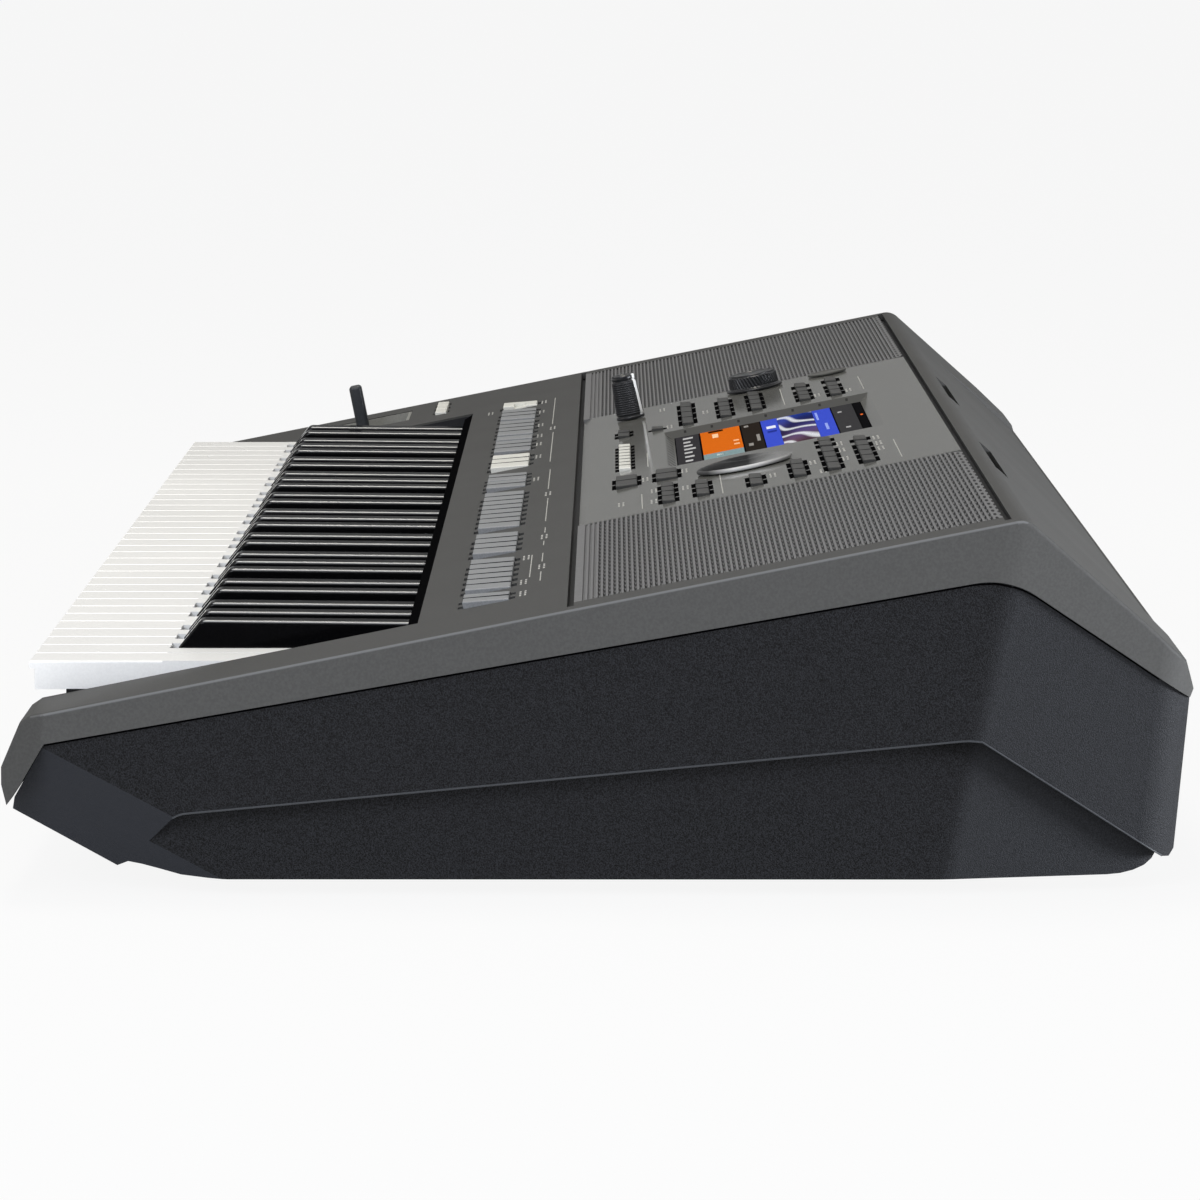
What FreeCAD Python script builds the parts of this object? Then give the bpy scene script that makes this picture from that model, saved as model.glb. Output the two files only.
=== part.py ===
import FreeCAD, Part
import math
import os

# Arranger keyboard with 61 keys, a sloping top, a control plate with a display,
# two ribbed speaker grilles and a stepped dark lower case.
# Frame: X to the player's right, Y to the back, Z up, millimetres.
# The origin is the middle of the footprint on the table.

# Keys
octave_span = 165.0
octave_count = 5
whites_per_octave = 7
key_gap = 0.95
key_side_gap = 2.7
key_show = 136.1
key_setback = 5.4
white_top_height = 76.6
white_key_height = 10.0
white_top_wall = 2.5
white_side_wall = 2.0
white_lip_height = 2.6
white_lip_overhang = 1.9
white_edge_round = 0.7
head_length = 46.6
black_setback = 3.0
black_rise = 9.9
black_rear_drop = 0.9
black_base_width = 10.8
black_top_width = 9.6
black_front_run = 8.0
black_edge_round = 1.6
black_front_round = 3.0
black_tail_cover = 5.5
press_rib_depth = 8.0
press_rib_back = 89.6
pivot_radius = 1.5
pivot_clearance = 0.05
pivot_back = 31.5
pivot_end = 8.0
arm_gap = 4.0
arm_length = 12.0

# Key bed under the keys
chassis_thick = 3.0
key_bed_drop = 13.6
chassis_front_gap = 13.2
pivot_rib_thick = 2.0
pivot_rib_depth = 12.0
pivot_rib_over = 4.0
end_plate_thick = 1.4
end_plate_drop = 9.6
end_plate_back = 125.0
felt_height = 4.3
felt_depth = 10.0
felt_setback = 13.6
contact_board_thick = 1.6
contact_board_depth = 24.0
dome_radius = 3.4
dome_tip_radius = 2.2
dome_height = 7.0

# Case sizes
left_cheek = 125.7
right_cheek = 50.7
row_depth = 53.5
deck_depth = 154.0
slope_depth = 61.0
foot_height = 6.0
top_over_keys = 26.31
top_rise_share = 0.1994
skin = 3.0
cut_over = 5.0
band_front = 10.7
band_rear = 19.05
knee_back = 4.4
rear_seam_height = 67.9
nose_depth = 15.0
nose_low = 32.9
nose_round = 10.4
nose_shares = ((0.28, 0.1), (0.12, 0.0), (0.0, 0.2276), (0.0, 0.42), (0.447, 0.92))
slope_shares = ((0.057, 0.981), (0.73, 0.410), (0.9475, 0.212), (1.0, 0.044), (0.977, 0.0))
taper_length = 74.1
taper_in = 15.0
taper_round = 40.0
crease_lean_share = 0.21
corner_round = 18.0
corner_lean_share = 0.097
front_in = 4.0
front_round = 5.0
plan_clear = 1.0
knee_round = 28.0
ridge_round_share = 0.94
cheek_wall_lift = 1.6
cheek_wall_tail = 16.0
edge_round = 1.6
touch = 0.01

# Rear slope with its shallow pocket and the two slots for a music rest
rim_depth = 18.0
pocket_end_shares = (0.9475, 0.1664)
pocket_top_margin = 158.0
pocket_low_margin = 72.0
rest_slot_shares = ((-0.2273, -0.0167), (0.3932, 0.6039))
rest_slot_back = 3.6
rest_slot_wide = 4.6
rest_slot_deep = 20.0

# Lower case
case_step = 2.0
base_step = 10.0
rear_wall_depth = 27.0
seam_gap = 0.3
proud_shares = ((-0.9839, 0.4500), (-0.9883, 0.3780), (-0.8132, 0.0565), (-0.7942, 0.0850),
                (-0.7141, 0.3603), (-0.7010, 0.3829), (0.6137, 0.7932), (0.6390, 0.7851),
                (0.9478, 0.1100), (0.9605, 0.1040), (0.9698, 0.1430))
base_front_shares = ((-0.7942, 0.0850), (-0.7700, 0.0720), (-0.7395, 0.0480), (-0.7039, 0.0178),
                     (-0.6570, 0.0048), (-0.6244, 0.0))
base_rear_shares = ((0.8560, 0.0), (0.8790, 0.0050), (0.9010, 0.0210), (0.9200, 0.0470), (0.9330, 0.0820),
                    (0.9415, 0.1300))
base_roof_shares = ((0.9415, 0.3600), (0.6400, 0.8600), (-0.7000, 0.4500))
facet_top_share = (-0.9220, 0.7431)
facet_low_share = (-0.7220, 0.3877)
facet_edge_share = (-0.8927, 0.2585)
facet_in = 15.0
facet_reach_share = 2.0
post_radius = 6.0
post_x_shares = (-0.70, -0.35, 0.0, 0.35, 0.70)
post_front_setback = 62.0
post_rear_setback = 155.0
foot_radius = 11.0
foot_x_share = 0.84
foot_front_share = 0.58
foot_rear_share = 0.74
screw_head_radius = 3.6
screw_head_height = 2.4
screw_shank_radius = 1.6
screw_shank_length = 14.0
screw_clearance = 0.3

# Front row of buttons, spans given along the key block from its middle
row_back = 22.4
row_cap_depth = 16.3
row_cap_gap = 1.5
row_front_rise = 2.5
row_rear_rise = 0.6
cap_sink = 5.0
cap_clearance = 0.3
cap_round = 0.5
notch_share = 0.5
row_notch = 2.2
row_left_shares = ((-0.9003, -0.7731), (-0.7524, -0.5783), (-0.5613, -0.5201), (-0.5047, -0.3841))
row_left_counts = (3, 4, 1, 3)
row_white_shares = ((-0.3441, -0.2069),)
row_white_counts = (3,)
row_mid_shares = ((-0.1343, -0.0684), (-0.0610, 0.0040), (0.0541, 0.3836))
row_mid_counts = (2, 2, 8)
row_right_shares = ((0.4357, 0.6004), (0.6475, 0.8814), (0.9115, 0.9705))
row_right_counts = (4, 6, 2)
power_shares = ((-0.9958, -0.9416),)
power_counts = (1,)
power_window_share = 0.36
power_window_deep = 1.2
row_board_gap = 3.0
board_thick = 1.6
row_board_margin = 4.0
row_post_radius = 3.0
row_post_shares = (-0.921, -0.365, -0.172, 0.0305, 0.409, 0.622, 0.8945)
press_travel = 1.0
switch_width = 4.5
switch_gap = 0.2

# Small buttons on the left cheek
cheek_cap_depth = 5.4
cheek_cap_setback = 14.4
cheek_span_margin = 27.0
cheek_span = 62.0
cheek_count = 3
cheek_notch = 1.4
cheek_front_rise = 1.5
cheek_rear_rise = 0.8
cheek_board_depth = 14.0
cheek_post_radius = 2.4

# Control plate, clusters given as left end, right end and depth
plate_width = 469.0
plate_shift = 7.0
plate_bevel = 4.0
plate_bevel_drop = 1.6
plate_seat = 6.0
groove = 2.4
groove_side = 10.0
deck_side = 18.0
deck_rim = 3.2
deck_fit = 0.4
cluster_depth = 4.9
cluster_gap = 1.1
cluster_notch = 1.3
cluster_front_rise = 1.6
cluster_rear_rise = 1.0
rocker_depth = 8.6
left_shares = ((-0.8977, -0.4371, 0.3110), (-0.8209, -0.4392, 0.4195), (-0.8294, -0.4563, 0.5084),
               (-0.8166, -0.7356, 0.6461), (-0.7015, -0.4542, 0.6461), (-0.8209, -0.7356, 0.7338),
               (-0.6930, -0.4371, 0.7338))
left_counts = (4, 4, 4, 1, 3, 1, 3)
front_shares = ((-0.5522, -0.4286, 0.1273), (-0.4840, -0.4414, 0.2234))
front_counts = (2, 1)
rocker_shares = ((0.3518, 0.5309, 0.1318), (0.3689, 0.5352, 0.2370))
rocker_counts = (2, 2)
memory_shares = ((-0.2495, 0.2196, 0.1286),)
memory_counts = (8,)
right_shares = ((0.6149, 0.9275, 0.2364), (0.6844, 0.9232, 0.3234), (0.7612, 0.9318, 0.4584),
                (0.6546, 0.9258, 0.5682), (0.3603, 0.4286, 0.6545), (0.4414, 0.5139, 0.6545),
                (0.5480, 0.9275, 0.6545), (0.4627, 0.5309, 0.7429), (0.5608, 0.9147, 0.7429))
right_counts = (4, 3, 2, 3, 1, 1, 4, 1, 4)
panel_board_gap = 8.4
panel_board_margin = 3.0
panel_post_radius = 2.6
panel_post_inset = 4.2

# Display
window_x_shares = (-0.3774, 0.3092)
window_v_shares = (0.2403, 0.8182)
window_bevel = 4.0
glass_thick = 1.2
glass_lap = 4.0
module_thick = 5.5

# Knobs and the data dial, places given on the control plate
shaft_radius = 3.0
shaft_clearance = 0.05
shaft_length = 9.0
shaft_hole_clearance = 0.3
pot_height = 8.0
pot_radius = 6.5
knob_gap = 0.4
flute_radius = 0.9
tall_place_share = (-0.8038, 0.1494)
tall_base_radius = 6.5
tall_top_radius = 5.3
tall_height = 20.6
tall_flutes = 16
wide_place_share = (-0.9232, 0.5175)
wide_flange_radius = 12.9
wide_flange_height = 1.2
wide_base_radius = 11.4
wide_top_radius = 10.8
wide_height = 8.0
wide_flutes = 24
disc_place_share = (-0.9429, 0.7338)
disc_radius = 9.0
disc_height = 1.3
dial_place_share = (0.5608, 0.4390)
dial_radius = 19.6
dial_height = 5.7
dial_rim = 2.4
dial_dish = 0.9
dial_edge = 1.6
dial_dimple_radius = 5.0
dial_dimple_share = 0.62

# Joystick
stick_inset = 57.0
stick_setback = 57.7
dish_width = 54.0
dish_length = 49.0
dish_floor = 2.0
dish_wall = 1.5
dish_deep = 8.0
dish_top_gap = 0.4
dish_flange = 3.0
dish_flange_thick = 1.5
dish_hole_clearance = 0.4
stick_pivot_drop = 9.0
stick_pin_radius = 2.0
stick_pin_clearance = 0.05
lug_thick = 3.0
lug_half_width = 5.0
lug_low = 5.0
ring_outer = 13.5
ring_inner = 10.0
ring_half_height = 3.0
lug_clearance = 3.0
hub_radius = 4.0
hub_half_length = 9.0
stick_width = 7.6
stick_depth = 6.2
stick_rise = 20.0
stick_round = 1.8
dome_outer = 13.6
dome_wall = 1.1
dome_reach_share = 0.56

# Speakers under the grilles
baffle_thick = 2.5
baffle_lap = 2.0
baffle_rear_lap = 0.8
speaker_radius = 52.0
basket_flange = 6.0
basket_flange_thick = 2.0
basket_depth = 26.0
basket_low_radius = 26.0
basket_wall = 1.6
magnet_radius = 32.0
magnet_height = 14.0
cone_wall = 1.0
cone_gap = 0.6
cone_neck_radius = 12.0
cone_low_share = 0.82

# Grille ribs
rib_pitch = 1.835
rib_margin = 2.0
rib_deep = 0.7
rib_crest_share = 0.45
rib_ramp_share = 0.15
grille_corner = 9.0

# Boards and the rear jack plate
main_board_width = 300.0
main_board_depth = 110.0
main_board_height = 22.0
main_board_back = 50.0
board_post_radius = 4.0
board_post_inset = 8.0
jack_window_width = 440.0
jack_window_height = 28.0
jack_window_low = 30.0
jack_plate_lap = 5.0
jack_plate_thick = 2.5
jack_board_back = 16.0
jack_body_radius = 7.0
jack_bore_radius = 3.2
jack_hole_clearance = 0.3
jack_floor = 0.9
jack_nose = 1.0
jack_x_shares = (-0.86, -0.74, -0.62, -0.50, -0.38)
usb_x_shares = (0.30, 0.46)
usb_width = 13.2
usb_height = 7.6
usb_wall = 0.9
usb_depth = 14.0
inlet_x_share = 0.78
inlet_radius = 5.6
inlet_bore_radius = 2.8


# Worked-out sizes of the whole object
white_pitch = octave_span / whites_per_octave
white_count = octave_count * whites_per_octave + 1
key_block = white_count * white_pitch
half_width = (left_cheek + key_block + right_cheek) / 2
half_depth = (key_setback + key_show + row_depth + deck_depth + slope_depth) / 2
key_left = left_cheek - half_width
key_right = key_left + key_block
key_middle = (key_left + key_right) / 2
key_front = key_setback - half_depth
panel_front = key_front + key_show
deck_front = panel_front + row_depth
top_rear = deck_front + deck_depth
tilt = math.atan(top_rise_share)
tilt_degrees = math.degrees(tilt)
head_rear = key_front + head_length
black_front = head_rear + black_setback
pivot_y = panel_front + pivot_back
white_low = white_top_height - white_key_height
chassis_top = white_low - key_bed_drop
cheek_wall_low = chassis_top + cheek_wall_lift
top_mid_height = white_top_height + top_over_keys
pivot_z = white_low + white_key_height / 2
arm_front = pivot_y - arm_length
key_rear = pivot_y + pivot_end
press_rib_y = key_front + press_rib_back
deck_v = deck_front / math.cos(tilt)
panel_v = panel_front / math.cos(tilt)
rear_v = top_rear / math.cos(tilt)
deck_length = rear_v - deck_v
opening_front = deck_v - groove / 2
opening_rear = rear_v - deck_rim
plates_front = opening_front + groove
plates_rear = opening_rear - groove
opening_half = half_width - deck_side
plate_left = plate_shift - plate_width / 2
plate_right = plate_shift + plate_width / 2
row_rear = deck_v - row_back
row_front = row_rear - row_cap_depth
cheek_rear = panel_v - cheek_cap_setback
cheek_front = cheek_rear - cheek_cap_depth
cheek_left = cheek_span_margin - half_width
stick_x = stick_inset - half_width
stick_v = panel_v - stick_setback
pivot_w = -dish_deep - stick_pivot_drop
dish_hole_radius = math.sqrt(dome_outer ** 2 - stick_pivot_drop ** 2) + dish_hole_clearance
panel_board_w = -cap_sink - panel_board_gap
row_board_w = -cap_sink - row_board_gap


# Basic shapes
def point(x, y, z):
    return FreeCAD.Vector(x, y, z)


def box(x_low, x_high, y_low, y_high, z_low, z_high):
    return Part.makeBox(x_high - x_low, y_high - y_low, z_high - z_low, point(x_low, y_low, z_low))


def rod(radius, start, direction, length):
    return Part.makeCylinder(radius, length, start, direction)


def upright(radius, x, y, z_low, z_high):
    return rod(radius, point(x, y, z_low), point(0, 0, 1), z_high - z_low)


def side_prism(outline, x_low, x_high):
    corners = [point(x_low, y, z) for y, z in outline]
    face = Part.Face(Part.makePolygon(corners + corners[:1]))
    return face.extrude(point(x_high - x_low, 0, 0))


def plan_prism(outline, z_low, z_high):
    corners = [point(x, y, z_low) for x, y in outline]
    face = Part.Face(Part.makePolygon(corners + corners[:1]))
    return face.extrude(point(0, 0, z_high - z_low))


def inset(outline, gap):
    """Closed outline moved inward by a gap, each side kept straight."""
    count = len(outline)
    area = sum(outline[i - 1][0] * outline[i][1] - outline[i][0] * outline[i - 1][1] for i in range(count))
    turn = 1 if area > 0 else -1
    lines = []
    for i in range(count):
        (ax, ay), (bx, by) = outline[i], outline[(i + 1) % count]
        length = math.hypot(bx - ax, by - ay)
        dx, dy = (bx - ax) / length, (by - ay) / length
        lines.append((ax - turn * dy * gap, ay + turn * dx * gap, dx, dy))
    moved = []
    for i in range(count):
        px, py, dx, dy = lines[i - 1]
        qx, qy, ex, ey = lines[i]
        step = ((qx - px) * ey - (qy - py) * ex) / (dx * ey - dy * ex)
        moved.append((px + step * dx, py + step * dy))
    return moved


def group(shapes):
    return Part.makeCompound(shapes)


def fuse_all(shapes):
    return shapes[0].fuse(shapes[1:]).removeSplitter() if len(shapes) > 1 else shapes[0]


def rounded(shape, radius, chosen):
    edges = [edge for edge in shape.Edges if chosen(edge)]
    return shape.makeFillet(radius, edges) if edges else shape


def spans_x(edge):
    box_of = edge.BoundBox
    return box_of.XLength > max(box_of.YLength, box_of.ZLength)


def stands(edge):
    box_of = edge.BoundBox
    return box_of.ZLength > max(box_of.XLength, box_of.YLength)


def round_ridge(prism, place, radius):
    """Round the edge along X that passes through one point of the side outline."""
    y, z = place
    return rounded(prism, radius, lambda edge: spans_x(edge)
                   and math.hypot(edge.BoundBox.Center.y - y, edge.BoundBox.Center.z - z) < touch)


def slab(y_low, y_high):
    """Block wider and higher than the case between two upright planes."""
    reach = half_width + cut_over
    return box(-reach, reach, y_low, y_high, -cut_over, top_z(half_depth) + cut_over)


def parted(shell, planes):
    """The pieces of a shell between upright planes, from the front to the back."""
    ends = [-half_depth - cut_over] + planes + [half_depth + cut_over]
    return [shell.common(slab(low, high)) for low, high in zip(ends, ends[1:])]


def on_panel(shape):
    """Place a shape made on the flat onto the sloping top; local Z becomes the top's outward normal."""
    moved = shape.copy()
    moved.rotate(point(0, 0, 0), point(1, 0, 0), tilt_degrees)
    moved.translate(point(0, 0, top_mid_height))
    return moved


def top_z(y):
    return top_mid_height + top_rise_share * y


# Case outlines
def nose_points():
    nose_top = top_z(nose_round - half_depth)
    return [(share_y * nose_depth - half_depth, nose_low + share_z * (nose_top - nose_low))
            for share_y, share_z in nose_shares]


def slope_points():
    drop = top_z(top_rear) - rear_seam_height
    return [(top_rear + share_y * slope_depth, rear_seam_height + share_z * drop)
            for share_y, share_z in slope_shares]


def seam_front():
    y = nose_depth - half_depth
    return y, top_z(y) - band_front


def seam_knee():
    y = top_rear - knee_back
    return y, top_z(y) - band_rear


def upper_outline():
    top_front = nose_round - half_depth
    top_edge = [(top_front, top_z(top_front)), (top_rear, top_z(top_rear))]
    return [seam_front()] + nose_points() + top_edge + slope_points() + [seam_knee()]


def hollow_outline():
    front = nose_depth - half_depth
    rear = slope_points()[:-1]
    return [(front, 0), (front, top_z(front)), (top_rear, top_z(top_rear))] + rear + [(rear[-1][0], 0)]


def plan_outline(side):
    """Plan at the height of the rear seam: cut front corners, straight sides and a taper to the back."""
    right = [(side - front_in, -half_depth), (side, nose_depth - half_depth),
             (side, half_depth - taper_length), (side - taper_in, half_depth + plan_clear)]
    return right + [(-x, y) for x, y in reversed(right)]


def leaning_prism(outline, lean_share):
    """Plan outline drawn upward so that it moves back with the height."""
    low, high = -cut_over, top_z(half_depth) + cut_over
    shift = lean_share * (low - rear_seam_height)
    corners = [point(x, y + shift, low) for x, y in outline]
    face = Part.Face(Part.makePolygon(corners + corners[:1]))
    return face.extrude(point(0, lean_share * (high - low), high - low))


def taper_cut(crease, corner):
    """Wedge outside the slanted side face that starts at the crease."""
    (ax, ay), (bx, by) = crease, corner
    end_x, end_y = 2 * bx - ax, 2 * by - ay
    out = ax + math.copysign(half_depth, ax)
    return leaning_prism([(ax, ay), (end_x, end_y), (out, end_y), (out, ay)], crease_lean_share)


def full_plan(side, gap):
    """Whole plan as a tall block, moved inward by a gap, with its upright edges rounded."""
    outline = inset(plan_outline(side), gap)
    front, edge, crease, corner = outline[:4]
    right = [front, edge, (edge[0], corner[1])]
    block = leaning_prism(right + [(-x, y) for x, y in reversed(right)], corner_lean_share)
    mirror = [(-x, y) for x, y in (crease, corner)]
    block = block.cut([taper_cut(crease, corner), taper_cut(*mirror)])
    middle = (crease[1] + corner[1]) / 2
    block = rounded(block, taper_round - gap, lambda e: stands(e) and 0 < e.BoundBox.Center.y < middle)
    block = rounded(block, corner_round - gap, lambda e: stands(e) and e.BoundBox.Center.y > middle)
    front_edge = (edge[1] + half_depth) / 2 - half_depth
    return rounded(block, front_round, lambda e: stands(e) and front_edge < e.BoundBox.Center.y < 0)


def slope_height(y):
    (ay, az), (by, bz) = slope_points()[0], slope_points()[1]
    return az + (bz - az) * (y - ay) / (by - ay)


def rear_pocket(grow):
    """Wedge cut into the rear slope: no depth at the rim, deepest at the rear edge."""
    start = top_rear + rim_depth
    end = top_rear + pocket_end_shares[0] * slope_depth
    end_z = rear_seam_height + pocket_end_shares[1] * (top_z(top_rear) - rear_seam_height)
    sky = top_z(top_rear) + cut_over
    back = half_depth + cut_over
    outline = [(start, slope_height(start)), (end, end_z), (back, end_z), (back, sky), (start, sky)]
    wedge = side_prism(inset(outline, -grow), -half_width, half_width)
    top_half = half_width - pocket_top_margin + grow
    low_half = half_width - pocket_low_margin + grow
    near, far = start - grow, back + grow
    plan = [(-top_half, near), (top_half, near), (low_half, far), (-low_half, far)]
    return wedge.common(plan_prism(plan, 0, sky + grow))


def rest_slots():
    start = top_rear + rest_slot_back
    high = top_z(top_rear)
    return [box(low * half_width, high_share * half_width, start, start + rest_slot_wide,
                high - rest_slot_deep, high + cut_over) for low, high_share in rest_slot_shares]


# Buttons: every set is a list of spans with how many caps share each span
def row_spans(shares, counts):
    half = key_block / 2
    return [(key_middle + low * half, key_middle + high * half, row_front, row_rear, count)
            for (low, high), count in zip(shares, counts)]


def plate_spans(shares, counts, depth):
    half = plate_width / 2
    spans = []
    for (low, high, back), count in zip(shares, counts):
        middle = deck_v + back * deck_length
        spans.append((plate_shift + low * half, plate_shift + high * half,
                      middle - depth / 2, middle + depth / 2, count))
    return spans


def cheek_spans():
    return [(cheek_left, cheek_left + cheek_span, cheek_front, cheek_rear, cheek_count)]


def cap(x_low, x_high, front, rear, front_rise, rear_rise):
    outline = [(front, -cap_sink), (rear, -cap_sink), (rear, rear_rise), (front, front_rise)]
    body = side_prism(outline, x_low, x_high)
    return rounded(body, cap_round, lambda edge: edge.BoundBox.ZMin > 0)


def cap_places(spans, gap):
    places = []
    for x_low, x_high, front, rear, count in spans:
        pitch = (x_high - x_low) / count
        for i in range(count):
            left = x_low + i * pitch
            places.append((left + gap / 2, left + pitch - gap / 2, front, rear))
    return places


def caps(spans, gap, front_rise, rear_rise):
    return [on_panel(cap(x_low, x_high, front, rear, front_rise, rear_rise))
            for x_low, x_high, front, rear in cap_places(spans, gap)]


def cap_openings(spans, gap, notch):
    """One window per span with a small notch before and behind each cap."""
    deep, high = -skin - cut_over, cut_over
    cuts = []
    for x_low, x_high, front, rear, count in spans:
        pitch = (x_high - x_low) / count
        ease = gap / 2 - cap_clearance
        cuts.append(box(x_low + ease, x_high - ease, front - cap_clearance, rear + cap_clearance, deep, high))
        for i in range(count):
            middle = x_low + (i + 0.5) * pitch
            half = pitch * notch_share / 2
            cuts.append(box(middle - half, middle + half, front - notch, rear + notch, deep, high))
    return [on_panel(cut) for cut in cuts]


def row_sets():
    return (row_spans(row_left_shares, row_left_counts) + row_spans(row_white_shares, row_white_counts)
            + row_spans(row_mid_shares, row_mid_counts) + row_spans(row_right_shares, row_right_counts)
            + row_spans(power_shares, power_counts))


def cluster_sets():
    return (plate_spans(left_shares, left_counts, cluster_depth)
            + plate_spans(front_shares, front_counts, cluster_depth)
            + plate_spans(memory_shares, memory_counts, cluster_depth)
            + plate_spans(right_shares, right_counts, cluster_depth)
            + plate_spans(rocker_shares, rocker_counts, rocker_depth))


def power_button():
    button = caps(row_spans(power_shares, power_counts), row_cap_gap, row_front_rise, row_rear_rise)[0]
    (x_low, x_high, front, rear), = cap_places(row_spans(power_shares, power_counts), row_cap_gap)
    middle = (front + rear) / 2
    half = power_window_share * (rear - front) / 2
    low = (row_front_rise + row_rear_rise) / 2 - power_window_deep
    window = box((x_low + x_high) / 2, x_high + cut_over, middle - half, middle + half, low, cut_over)
    return button.cut(on_panel(window))


# Upper case
def seam_height(y):
    (front_y, front_z), (knee_y, knee_z) = seam_front(), seam_knee()
    rear_y, rear_z = slope_points()[-1]
    if y < knee_y:
        return front_z + (knee_z - front_z) * (y - front_y) / (knee_y - front_y)
    return knee_z + (rear_z - knee_z) * (y - knee_y) / (rear_y - knee_y)


def is_side_top(edge):
    """Long edges where the top and the slope meet the ends of the case."""
    ends = [vertex.Point for vertex in edge.Vertexes]
    inner = half_width - taper_in - corner_round
    last = slope_points()[1][0] + edge_round
    clear = all(end.z > seam_height(end.y) + band_front / 2 and end.y < last for end in ends)
    return clear and all(abs(end.x) > inner for end in ends) and ends[0].x * ends[1].x > 0


def cheek_wall(x_low, x_high):
    front = nose_depth - half_depth
    rear = panel_front + cheek_wall_tail
    outline = [(front, cheek_wall_low), (rear, cheek_wall_low),
               (rear, top_z(rear) - skin / 2), (front, top_z(front) - skin / 2)]
    return side_prism(outline, x_low, x_high)


def groove_ends():
    cuts = []
    for side in (-1, 1):
        near, far = sorted((side * (opening_half - cut_over), side * (opening_half + groove_side)))
        for low in (opening_front, plates_rear):
            cuts.append(on_panel(box(near, far, low, low + groove, -skin - cut_over, cut_over)))
    return cuts


def row_posts():
    middle = (row_front + row_rear) / 2
    places = [key_middle + share * key_block / 2 for share in row_post_shares]
    return [on_panel(upright(row_post_radius, x, middle, row_board_w, -skin / 2)) for x in places]


def cheek_post_places():
    middle = (cheek_front + cheek_rear) / 2
    reach = cheek_board_depth / 2 - cheek_post_radius
    x = cheek_left + cheek_span / 2
    return [(x, middle - reach), (x, middle + reach)]


def ridge_radius(ridge, bevel):
    """Radius of the two roundings at the ridge, which together take up a share of the bevel between them."""
    path = [(deck_front, top_z(deck_front)), ridge, bevel, slope_points()[1]]
    headings = [math.atan2(end[1] - start[1], end[0] - start[0]) for start, end in zip(path, path[1:])]
    used = sum(math.tan((before - after) / 2) for before, after in zip(headings, headings[1:]))
    return ridge_round_share * math.hypot(bevel[0] - ridge[0], bevel[1] - ridge[1]) / used


def upper_prism():
    prism = side_prism(upper_outline(), -half_width, half_width)
    ridge, bevel = (top_rear, top_z(top_rear)), slope_points()[0]
    radius = ridge_radius(ridge, bevel)
    prism = round_ridge(round_ridge(prism, ridge, radius), bevel, radius)
    return round_ridge(prism, seam_knee(), knee_round)


def upper_shell():
    shell = upper_prism().common(full_plan(half_width, 0))
    shell = rounded(shell, edge_round, is_side_top)
    hollow = side_prism(inset(hollow_outline(), skin), skin - half_width, half_width - skin)
    hollow = hollow.common(full_plan(half_width, skin)).cut(rear_pocket(skin))
    shell = shell.cut(rear_pocket(0)).cut(hollow)
    left = key_left - key_side_gap
    right = key_right + key_side_gap
    added = [cheek_wall(left - skin, left), cheek_wall(right, right + skin)] + row_posts()
    added += [on_panel(upright(cheek_post_radius, x, v, row_board_w, -skin / 2))
              for x, v in cheek_post_places()]
    shell = shell.fuse(added)
    high = top_z(half_depth) + cut_over
    deep = -skin - cut_over
    cuts = [box(left, right, -half_depth - cut_over, panel_front, 0, high)]
    cuts.append(on_panel(box(-opening_half, opening_half, opening_front, opening_rear, deep, cut_over)))
    cuts.append(on_panel(box(stick_x - dish_width / 2, stick_x + dish_width / 2, stick_v - dish_length / 2,
                             stick_v + dish_length / 2, deep, cut_over)))
    cuts += groove_ends() + rest_slots()
    cuts += cap_openings(row_sets(), row_cap_gap, row_notch)
    cuts += cap_openings(cheek_spans(), row_cap_gap, cheek_notch)
    return shell.cut(cuts).removeSplitter()


def upper_pieces():
    """Top with the cheeks, rail with the slots of the music rest, and rear slope."""
    return parted(upper_shell(), [top_rear, top_rear + rim_depth])


# Lower case
def lower_points(shares):
    low = foot_height
    return [(share_y * half_depth, low + share_z * (rear_seam_height - low)) for share_y, share_z in shares]


def base_shares():
    return base_front_shares + base_rear_shares + base_roof_shares


def seam_points():
    front_y, front_z = seam_front()
    knee_y, knee_z = seam_knee()
    rear_y, rear_z = slope_points()[-1]
    return [(rear_y, rear_z - seam_gap), (knee_y, knee_z - seam_gap), (front_y, front_z - seam_gap)]


def facet_cut(side, gap):
    """Slanted cut that leaves the smooth facet at the front end of a side wall, moved inward by a gap."""
    wide = side * (half_width - case_step - gap)
    top, low, edge = lower_points((facet_top_share, facet_low_share, facet_edge_share))
    start, end = point(wide, *top), point(wide, *low)
    along = end - start
    across = point(wide - side * facet_in, *edge) - (start + end) * 0.5
    near, far = start - along * facet_reach_share, end + along * facet_reach_share
    out = across * facet_reach_share
    corners = [near, far, far + out, near + out]
    face = Part.Face(Part.makePolygon(corners + corners[:1]))
    return face.extrude(point(side * (facet_in * facet_reach_share + cut_over + gap), 0, 0))


def chassis_post_places():
    return [(share * half_width, y) for share in post_x_shares
            for y in (key_front + post_front_setback, key_front + post_rear_setback)]


def board_post_places():
    half_x = main_board_width / 2 - board_post_inset
    half_y = main_board_depth / 2 - board_post_inset
    return [(x, main_board_back + y) for x in (-half_x, half_x) for y in (-half_y, half_y)]


def on_rear(shape):
    """Place a shape made at the origin onto the leaning rear wall; local Y points out of the wall."""
    low_y, low_z = lower_points(proud_shares[-1:])[0]
    high_y, high_z = seam_points()[0]
    lean = math.degrees(math.atan2(high_y - low_y, high_z - low_z))
    moved = shape.copy()
    moved.rotate(point(0, 0, 0), point(1, 0, 0), -lean)
    moved.translate(point(0, low_y, low_z))
    return moved


def jack_window_base():
    return jack_window_low - lower_points(proud_shares[-1:])[0][1]


def foot_places():
    return [(side * foot_x_share * half_width, y) for side in (-1, 1)
            for y in (-foot_front_share * half_depth, foot_rear_share * half_depth)]


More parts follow.
